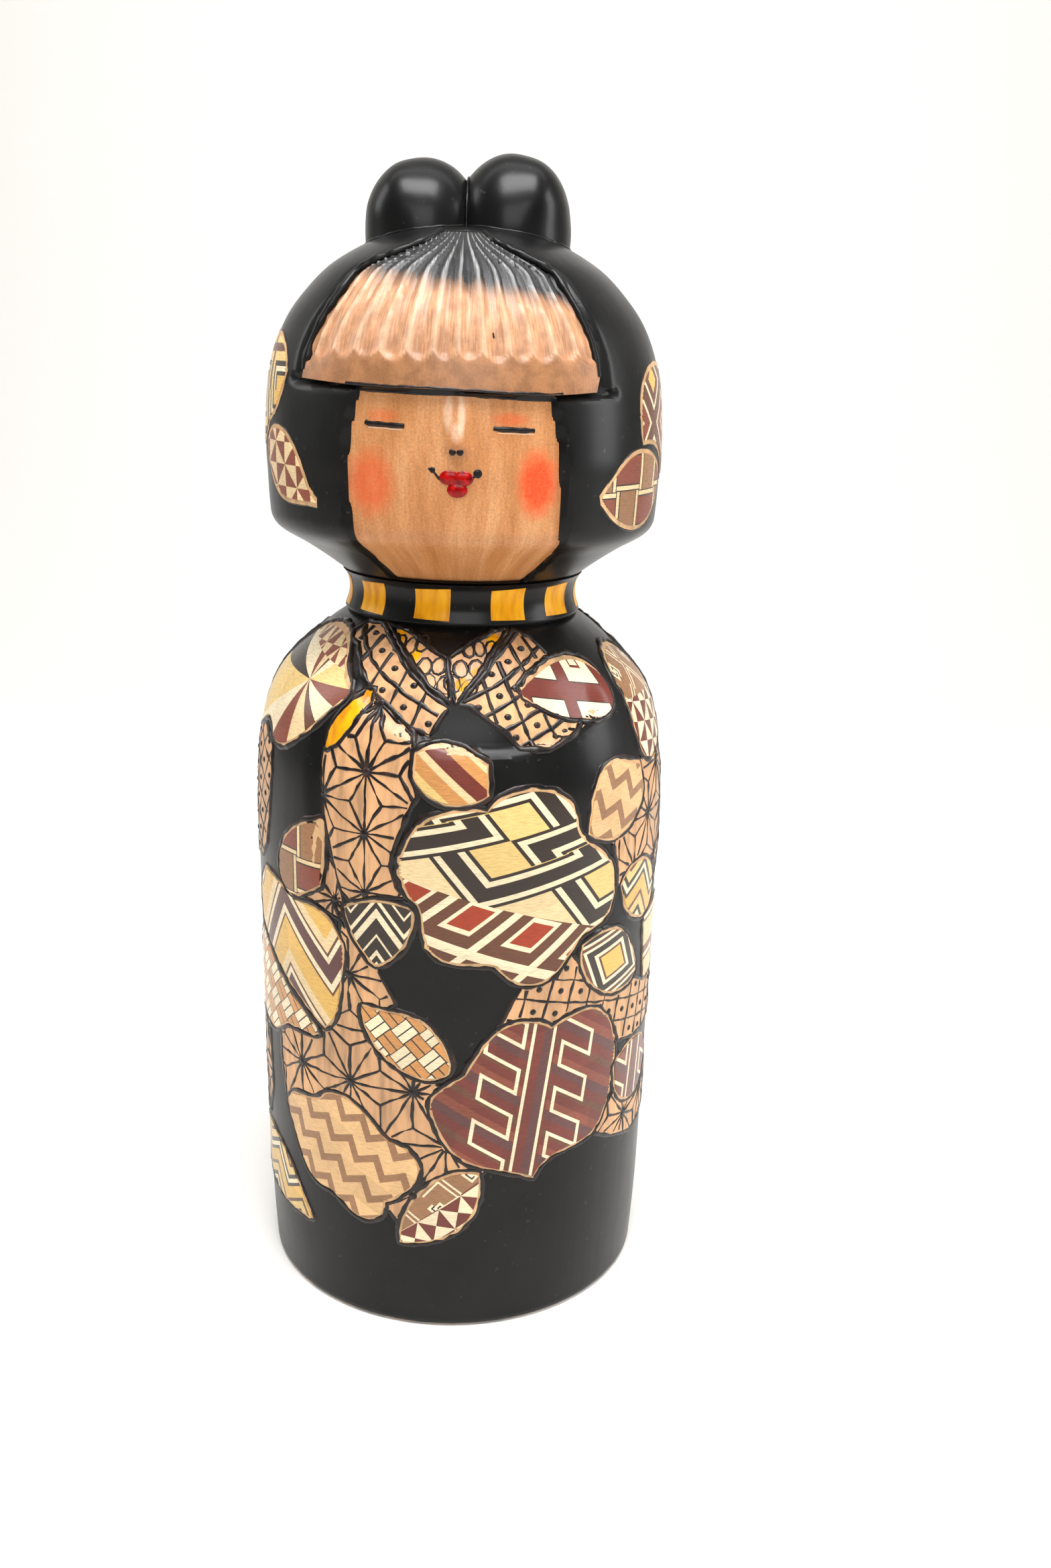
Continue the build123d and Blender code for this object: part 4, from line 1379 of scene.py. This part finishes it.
def stains_and_painted_light(finish, colour, flat, middle, spots, tint, softness=0.45):
    """Soft-edged ovals of colour on bare wood, patchy in strength: real stain, and also painted highlight and
    painted shade.
    """
    for (azimuth, height), (wide, tall), strength in spots:
        place = ((math.radians(azimuth - middle[0]) * HEAD_SPAN), height - middle[1], 0)
        offset = finish.node("VectorMath", {0: flat, 1: place}, operation="SUBTRACT")
        offset = finish.node("VectorMath", {0: offset, 1: (1 / wide, 1 / tall, 0)}, operation="MULTIPLY")
        length = finish.node("VectorMath", {0: offset}, 1, operation="LENGTH")
        ragged = finish.sum("MULTIPLY_ADD", finish.speckle(flat, 0.55, 5), 0.5, length)
        edge = [(OVAL_EDGE - softness / 2, strength), (OVAL_EDGE + softness / 4, 0.0)]
        mask = finish.ramp(finish.sum("MULTIPLY", ragged, 0.5), edge)
        patchy = finish.ramp(finish.speckle(flat, 1.8, 4), [(0.3, 0.72), (0.6, 1.0)])
        mask = finish.sum("MULTIPLY", mask, patchy)
        colour = finish.blend(mask, colour, tint)
    return colour


def face_finish(name, middle):
    """The face's wood with its stained cheeks and eyelids, and painted highlight and painted shade on the
    nose.
    """
    finish = Finish(name, Coat_Weight=0.2, Coat_Roughness=0.3, Specular_IOR_Level=0.3)
    flat = finish.node("UVMap", {}, uv_map="flat")
    grain = finish.speckle(flat, 1.5, 6, (1.6, 0.22, 1))
    figure = finish.speckle(flat, 0.16, 4, (1.6, 0.35, 1))
    mottle = finish.speckle(flat, 2.6, 5)
    colour = finish.ramp(figure, FACE_TONES)
    colour = finish.blend(1.0, colour, finish.ramp(grain, [(0.3, 0.89), (0.6, 1.05)]), "MULTIPLY")
    colour = finish.blend(1.0, colour, finish.ramp(mottle, [(0.35, 0.84), (0.65, 1.1)]), "MULTIPLY")
    # Painted shade and painted highlights on the nose, then the orange stain of cheeks and eyelids.
    colour = stains_and_painted_light(finish, colour, flat, middle, PAINTED_NOSE_SHADE, PAINTED_NOSE_SHADE_TONE)
    colour = stains_and_painted_light(finish, colour, flat, middle, PAINTED_NOSE_HIGHLIGHTS, PAINTED_HIGHLIGHT_TONE)
    colour = stains_and_painted_light(finish, colour, flat, middle, CHEEKS + EYELIDS, ORANGE_STAIN)
    finish.feed("Base Color", colour)
    finish.feed("Roughness", finish.ramp(mottle, [(0.3, 0.42), (0.7, 0.58)]))
    finish.bump(finish.sum("MULTIPLY_ADD", mottle, 0.8, grain), 0.00007, 0.6)
    return finish.material


face_foot = HEAD_BASE + 0.15
face_outline = [(azimuth + FACE_INSET, max(height, face_foot)) for azimuth, height in FACE_LEFT[:-1]]
face_outline += [(azimuth, read_off(fringe_foot, azimuth, 0, 1) - 0.2) for azimuth in range(-28, 27, 5)]
right_side = reversed(FACE_RIGHT[:-1])
face_outline += [(azimuth - FACE_INSET, max(height, face_foot)) for azimuth, height in right_side]
face = laid_sheet("face", face_outline, on_face, HEAD_SPAN, 0.06, 0.6)
face_middle = (
    (min(a for a, _ in face_outline) + max(a for a, _ in face_outline)) / 2,
    (min(h for _, h in face_outline) + max(h for _, h in face_outline)) / 2,
)
face.data.materials.append(face_finish("face_wood", face_middle))
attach(face, "head")

# ---------------------------------------------------------------------------------------
# Eyes, nostrils, mouth: closed eyes cut as slits and blackened, two pricked nostrils, and
# three drops of thick red paint between the curled ends of a thin black line. A pale line
# under each eye is a painted highlight.
# ---------------------------------------------------------------------------------------
EYE_LINES = [[(-25.6, 165.5), (-24.4, 165.3), (-14, 165.1)], [(10.0, 165.1), (11.2, 165.0), (21.6, 164.85)]]
EYE_WIDTH = 0.85
# Painted highlights: a pale line along the lower edge of each eye slit, standing for light caught on the
# cut's lower wall.
EYE_HIGHLIGHT_LINES = [[(-24.6, 164.72), (-14.6, 164.5)], [(11.2, 164.4), (21.2, 164.25)]]
NOSTRILS = [(-0.75, 161.4), (1.2, 161.4)]
MOUTH_LINES = [
    [(-7.3, 158.7), (-6.2, 158.5), (-4.6, 157.3), (-3.2, 156.6)],
    [(6.2, 158.0), (4.9, 157.4), (3.7, 156.6)],
]
MOUTH_ENDS = [((-6.2, 158.45), 0.5), ((6.0, 158.05), 0.75)]
LIP_LOBES = [((-1.7, 157.3), (1.6, 1.2)), ((2.1, 157.2), (1.65, 1.25)), ((0.6, 155.4), (1.7, 1.25))]
LIP_PROUD = 0.45


def thick_paint(name, deep, bright, roughness):
    """A drop of glossy paint, deeper where it lies thick."""
    finish = Finish(name, Coat_Weight=0.15, Coat_Roughness=0.06, Specular_IOR_Level=0.2)
    place = finish.node("TexCoord", {}, "Object")
    cloud = finish.speckle(place, 900, 3)
    finish.feed("Base Color", finish.ramp(cloud, [(0.35, deep), (0.65, bright)]))
    finish.feed("Roughness", finish.ramp(cloud, [(0.3, roughness), (0.7, roughness + 0.15)]))
    finish.bump(cloud, 0.00004, 0.4)
    return finish.material


lip_red = thick_paint("lip_red", (0.13, 0.0, 0.0, 1), (0.45, 0.001, 0.001, 1), 0.16)
eye_black = thick_paint("eye_black", (0.004, 0.003, 0.003, 1), (0.012, 0.008, 0.007, 1), 0.3)
# Pale wood for the painted eye highlights.
painted_eye_highlight = bare_wood("eye_highlight_paint", (0.82, 0.62, 0.45, 1), 0.2)
burnt_lines("eyes", EYE_LINES, on_face, HEAD_SPAN, EYE_WIDTH, "head", eye_black, 0.07, 0.3)
burnt_lines("eye_painted_highlights", EYE_HIGHLIGHT_LINES, on_face, HEAD_SPAN, 0.28, "head", painted_eye_highlight, 0.05, 0.3)
burnt_lines("mouth_line", MOUTH_LINES, on_face, HEAD_SPAN, 0.5, "head", eye_black, 0.06, 0.3)
drops("mouth_ends", [(place, (size, size)) for place, size in MOUTH_ENDS], on_face, 0.22, eye_black, "head")
drops("nostrils", [(place, (0.58, 0.58)) for place in NOSTRILS], on_face, 0.28, eye_black, "head")
drops("lips", LIP_LOBES, on_face, LIP_PROUD, lip_red, "head")
LIP_EDGES = [
    [(-3.9, 157.4), (-3, 158.3), (-1.5, 158.5), (0, 157.9), (1.6, 158.45), (3.4, 158.2), (4.5, 157.2)],
    [(-1.9, 155.9), (-1.5, 154.9), (0.6, 154.35), (2.7, 154.9), (3.1, 156.0)],
    [(-3.4, 156.7), (0.2, 156.35), (3.9, 156.5)],
    [(0.2, 157.9), (0.3, 156.6)],
    [(0.9, 159.8), (0.4, 159.2)],
]
lip_dark = thick_paint("lip_edge", (0.03, 0.002, 0.002, 1), (0.09, 0.006, 0.005, 1), 0.3)
burnt_lines("lip_edges", LIP_EDGES, on_face, HEAD_SPAN, 0.2, "head", lip_dark, 0.05, 0.2)

# ---------------------------------------------------------------------------------------
# The fringe: gouge cuts side by side, drawn together under the buns. Each cut ends in a
# rounded tip above a plain band. Bare wood below, lacquer above, worn through on ridges.
# The wooden ridges carry painted highlights, the hollows painted shade towards their lower
# ends, and the lacquered ridges a grey that is painted sheen together with wear.
# ---------------------------------------------------------------------------------------
GOUGE_TIPS = [-46.5, -41, -33.5, -26, -17.5, -10, -3, 3.2, 11, 17.5, 24, 31.5, 38.5]
GOUGE_DEPTH = 0.85
FRINGE_LIFT = 0.1
FRINGE_LOW = 171.3
TIP_HEIGHT = 175.4
FRINGE_TONES = [(0.3, (0.37, 0.17, 0.078, 1)), (0.5, (0.48, 0.24, 0.122, 1)), (0.7, (0.58, 0.33, 0.19, 1))]
# Painted highlight: the colour the wood is lightened to towards each ridge between the cuts.
RIDGE_HIGHLIGHT_TONE = (0.76, 0.52, 0.35, 1)
# Painted shade: the colour the hollows of the cuts darken to towards their lower ends.
HOLLOW_SHADE_TONE = (0.28, 0.115, 0.045, 1)
BAND_WOODS = [(0.25, 0.105, 0.04, 1), (0.38, 0.18, 0.08, 1)]
# Grey on the lacquered ridges: painted sheen, and lacquer worn thin.
SHEEN_AND_WEAR_GREY = (0.46, 0.455, 0.45, 1)


def gouge(azimuth, height):
    """How deep the gouge went, how near a ridge between two cuts is, and whether it cut at all."""
    across = azimuth / fan(height)
    ends = [2 * FRINGE_LEFT - GOUGE_TIPS[0], *GOUGE_TIPS, 2 * FRINGE_RIGHT - GOUGE_TIPS[-1]]
    number = min(range(1, len(ends) - 1), key=lambda n: abs(ends[n] - across))
    beside = ends[number + 1] if across > ends[number] else ends[number - 1]
    ridge = min(abs(across - ends[number]) / max(abs(beside - ends[number]) / 2, 0.1), 1)
    tip = TIP_HEIGHT - 1.2 * ease(abs(across), 36, 46) + 0.5 * noise.noise(Vector((number * 3.7, 0, 0)))
    start = tip + 1.5 * ridge**2
    depth = GOUGE_DEPTH * (1 - ridge**2) * ease(height, start - 0.2, start + 0.9)
    split = 0.30 * (0.5 + 0.5 * math.cos(across * 1.9 + 0.4)) * ease(height, 179, 186)
    streak = 0.16 * noise.noise(Vector((across * 0.9, height * 0.05, 1))) * ease(height, tip, tip + 2)
    cut = ease(height, start - 0.3, start + 0.3)
    if height > 182 and not FRINGE_LEFT + 1.5 < across < FRINGE_RIGHT - 1.5:
        ridge = 0
    return (depth + split + streak) * (1 - 0.65 * ease(height, 191, 195.5)), ridge, cut


def on_fringe(azimuth, height, lift=0.0):
    """A point on the gouged fringe."""
    depth = gouge(azimuth, height)[0]
    return round_axis(azimuth, read_off(head_side, height) + FRINGE_LIFT - depth + lift, height)


def fringe_finish(name):
    """Bare wood below, black above, the lacquer worn off the ridges; painted highlight and painted shade on
    the cuts, painted sheen with wear on the lacquered ridges.
    """
    finish = Finish(name, Coat_Weight=0.1, Coat_Roughness=0.25, Specular_IOR_Level=0.3)
    flat = finish.node("UVMap", {}, uv_map="flat")
    ridge = finish.node("Attribute", {}, 2, attribute_name="ridge")
    rise = finish.node("Attribute", {}, 2, attribute_name="rise")
    grain = finish.speckle(flat, 1.9, 5, (1.5, 0.16, 1))
    mottle = finish.speckle(flat, 2.4, 5)
    cut = finish.node("Attribute", {}, 2, attribute_name="cut")
    wood = finish.ramp(grain, FRINGE_TONES)
    # Painted highlight: the wood is lightened towards each ridge.
    wood = finish.blend(finish.ramp(ridge, [(0.6, 0.0), (0.95, 0.5)]), wood, RIDGE_HIGHLIGHT_TONE)
    # Painted shade: the hollows of the cuts are darkened towards the fringe's foot.
    low = finish.ramp(finish.sum("MULTIPLY_ADD", mottle, 0.12, rise), [(0.16, 0.55), (0.42, 0.0)])
    hollow_shade = finish.ramp(ridge, [(0.2, 1.0), (0.9, 0.0)])
    wood = finish.blend(finish.sum("MULTIPLY", low, hollow_shade), wood, HOLLOW_SHADE_TONE)
    band = finish.blend(mottle, *BAND_WOODS)
    wood = finish.blend(cut, band, wood)
    cloud = finish.ramp(finish.speckle(flat, 0.35, 3), [(0.4, 0.78), (0.6, 1.05)])
    wood = finish.blend(1.0, wood, cloud, "MULTIPLY")
    black = finish.ramp(mottle, [(0.3, (0.008, 0.008, 0.009, 1)), (0.7, (0.03, 0.03, 0.03, 1))])
    # Painted sheen and wear: grey streaks along the lacquered ridges.
    sheen_and_wear = finish.sum("MULTIPLY_ADD", grain, 0.4, finish.sum("MULTIPLY", ridge, 0.6))
    black = finish.blend(finish.ramp(sheen_and_wear, [(0.60, 0.0), (0.80, 0.7)]), black, SHEEN_AND_WEAR_GREY)
    edge = finish.sum("MULTIPLY_ADD", grain, 0.16, rise)
    edge = finish.sum("MULTIPLY_ADD", ridge, -0.03, edge)
    edge = finish.sum("MULTIPLY_ADD", finish.node("SeparateXYZ", {0: flat}, 0), 0.0035, edge)
    top = finish.ramp(edge, [(0.64, 0.0), (0.76, 1.0)])
    finish.feed("Base Color", finish.blend(top, wood, black))
    finish.feed("Roughness", finish.ramp(mottle, [(0.3, 0.34), (0.7, 0.5)]))
    finish.bump(finish.sum("MULTIPLY_ADD", mottle, 0.4, grain), 0.0001, 0.6)
    return finish.material


sides = [173.2 + 0.8 * step for step in range(28)] + [FRINGE_TOP]
fringe_outline = [(azimuth, read_off(fringe_foot, azimuth, 0, 1)) for azimuth in range(-48, 42, 4)]
fringe_outline += [(FRINGE_RIGHT * fan(height), height) for height in sides]
fringe_outline += [(FRINGE_LEFT * fan(height), height) for height in reversed(sides)]
fringe = laid_sheet("fringe", fringe_outline, on_fringe, HEAD_SPAN, 0.0, 0.5)
ridge_mark = fringe.data.attributes.new("ridge", "FLOAT", "POINT")
rise_mark = fringe.data.attributes.new("rise", "FLOAT", "POINT")
cut_mark = fringe.data.attributes.new("cut", "FLOAT", "POINT")
for vertex in fringe.data.vertices:
    x, y, z = vertex.co / MM
    _, ridge, cut = gouge(math.degrees(math.atan2(x, -y)), z)
    ridge_mark.data[vertex.index].value = ridge
    cut_mark.data[vertex.index].value = cut
    rise_mark.data[vertex.index].value = (z - FRINGE_LOW) / (FRINGE_TOP - FRINGE_LOW)
fringe.data.materials.append(fringe_finish("fringe_wood"))
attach(fringe, "head")

JOINT_GAPS = (-0.15, 0.75)
joint_places = [(azimuth, read_off(fringe_foot, azimuth, 0, 1)) for azimuth in range(-31, 30, 3)]
JOINT_LINES = [[(azimuth, height - gap) for azimuth, height in joint_places] for gap in JOINT_GAPS]
FACE_SIDES = [[(azimuth, height) for azimuth, height in side[:-1]] for side in (FACE_LEFT, FACE_RIGHT)]
FRINGE_SIDES = [[(edge * fan(height), height) for height in sides] for edge in (FRINGE_LEFT, FRINGE_RIGHT)]


def on_hair(azimuth, height, lift=0.0):
    """A point on the turned head before it was carved."""
    return round_axis(azimuth, read_off(head_side, height) + lift, height)


burnt_lines("fringe_joint_upper", JOINT_LINES[:1], on_hair, HEAD_SPAN, 0.6, "head", char, 0.12, 0.3)
burnt_lines("fringe_joint_lower", JOINT_LINES[1:], on_face, HEAD_SPAN, 0.55, "head", char, 0.12, 0.2)
burnt_lines("face_sides", FACE_SIDES, on_face, HEAD_SPAN, 0.8, "head", char, 0.25, 0.2)
burnt_lines("fringe_sides", FRINGE_SIDES, on_hair, HEAD_SPAN, 1.4, "head", hair_lacquer, 0.15, 0.4)
KNOT_LINE = [(10.1, 179.6), (10.3, 178.9)]
burnt_lines("fringe_knot", [KNOT_LINE], on_fringe, HEAD_SPAN, 0.35, "head", eye_black, 0.1, 0.1)

# ---------------------------------------------------------------------------------------
# The head's inlays, let in over the temples, cheeks and nape as on the body. The lines
# round them are finer than the body's.
# ---------------------------------------------------------------------------------------
HEAD_PLAN = {
    "temple_fret_left": "temple_fret",
    "cheek_leaf_left": "pinwheel",
    "temple_diamond_right": "diamond",
    "cheek_leaf_right": "basket",
    "nape_leaf_left": "pinwheel",
    "nape_leaf_right": "basket",
    "nape_diamond": "cross",
}
HEAD_BORDER_WIDTH = 0.6
head_rims, head_borders = [], []
for node, first in HEAD_PLAN.items():
    lay_inlay(node, "head", on_head, head_side, HEAD_SPAN, first, None, None, head_rims, head_borders)
head_rim_piece = join_pieces("head_inlay_rims", head_rims)
head_rim_piece.data.materials.append(bpy.data.materials["rim_wood"])
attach(head_rim_piece, "head")
burnt_lines("burnt_head_borders", head_borders, on_head, HEAD_SPAN, HEAD_BORDER_WIDTH, "head", char, 0.2)

# ---------------------------------------------------------------------------------------
# The buns: two balls turned separately, flattened where they press together, pegged and
# glued to the crown. The glue squeezed out in a rough bead and was lacquered over.
# ---------------------------------------------------------------------------------------
BUN_CENTRES = {"left_bun": (-7.6, 3.5, 195.4), "right_bun": (7.6, 3.5, 196.3)}
BUN_HALF = (10.6, 11.6, 13.4)
BUN_FULLNESS = 2.3  # 2 is an ellipsoid; more fills its shoulders
BUN_GAP = 0.05
BUN_LUMPS = 0.22
BEAD_WIDTH = 0.7
BEAD_STEPS = 72

bun_lacquer = black_lacquer("lacquer_buns")
beads = []
for node, (x0, y0, z0) in BUN_CENTRES.items():
    bpy.ops.object.select_all(action="DESELECT")
    bpy.ops.mesh.primitive_uv_sphere_add(segments=96, ring_count=64, radius=MM)
    bun = bpy.context.object
    bun.name = node + "_turned"
    side = 1 if x0 > 0 else -1
    middle = Vector((x0, y0, z0)) * MM
    bpy.ops.object.mode_set(mode="EDIT")
    bpy.ops.mesh.select_all(action="SELECT")
    bpy.ops.transform.resize(value=BUN_HALF, center_override=(0, 0, 0))
    bpy.ops.transform.translate(value=middle)
    flat_at = (BUN_GAP * side * MM, 0, 0)
    bpy.ops.mesh.bisect(plane_co=flat_at, plane_no=(side, 0, 0), clear_inner=True, use_fill=True)
    bpy.ops.object.mode_set(mode="OBJECT")
    for vertex in bun.data.vertices:
        x, y, z = ((vertex.co / MM - Vector((x0, y0, z0)))[axis] / BUN_HALF[axis] for axis in range(3))
        full = sum(abs(part) ** BUN_FULLNESS for part in (x, y, z)) ** (1 / BUN_FULLNESS)
        share = 1 + (math.hypot(x, y, z) / max(full, 0.01) - 1) * ease(z, 0, 0.4) * ease(x * side, 0, 0.5)
        vertex.co = middle + (vertex.co - middle) * share
        lump = noise.noise(vertex.co / MM * 0.11 + Vector((x0, 0, 0)))
        vertex.co += (vertex.co - middle).normalized() * BUN_LUMPS * lump * MM
    bpy.ops.object.shade_smooth_by_angle(angle=math.radians(40))
    bun.data.materials.append(bun_lacquer)
    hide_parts(node)
    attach(bun, "head")
    ring = []
    for step in range(BEAD_STEPS):
        turn = math.tau * step / BEAD_STEPS
        best = None
        for part in range(30, 100):
            share = part / 100
            x = x0 + share * BUN_HALF[0] * math.cos(turn)
            y = y0 + share * BUN_HALF[1] * math.sin(turn)
            under = z0 - BUN_HALF[2] * math.sqrt(1 - share * share)
            top = read_off(list(reversed(head_side)), math.hypot(x, y), 0, 1)
            if best is None or abs(under - top) < best[0]:
                best = (abs(under - top), (x, y, top))
        if best[1][0] * side > 0.1:
            ring.append(best[1])
    ring.sort(key=lambda spot: math.atan2(spot[1] - y0, (spot[0] - x0) * side) % math.tau)
    beads.append(ring)
crease = [(0, y0 - 8.9 * math.cos(n / 10), z0 + 9.4 * math.sin(n / 10)) for n in range(-8, 20)]
bead_runs = []
for ring in [*beads, crease]:
    share = 0.6 if ring is crease else 1
    halves = [BEAD_WIDTH / 2 * (1 + 0.7 * noise.noise(Vector(spot) * 0.9)) * share for spot in ring]
    bead_runs.append([(Vector(spot) * MM, half) for spot, half in zip(ring, halves)])
tubes("glue_bead", bead_runs, 2, bun_lacquer, "head")

# ---------------------------------------------------------------------------------------
# Hidden pieces: the turning dowel and the bun pegs, plain sticks of hardwood. They keep
# their CAD shapes.
# ---------------------------------------------------------------------------------------
stick_wood = bare_wood("stick_wood", (0.62, 0.43, 0.25, 1))
for node in ("neck_dowel", "left_bun_peg", "right_bun_peg"):
    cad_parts[node].data.materials.clear()
    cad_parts[node].data.materials.append(stick_wood)

size = {"cad": [list(corner) for corner in cad_box], "visual": [list(corner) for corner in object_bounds()]}
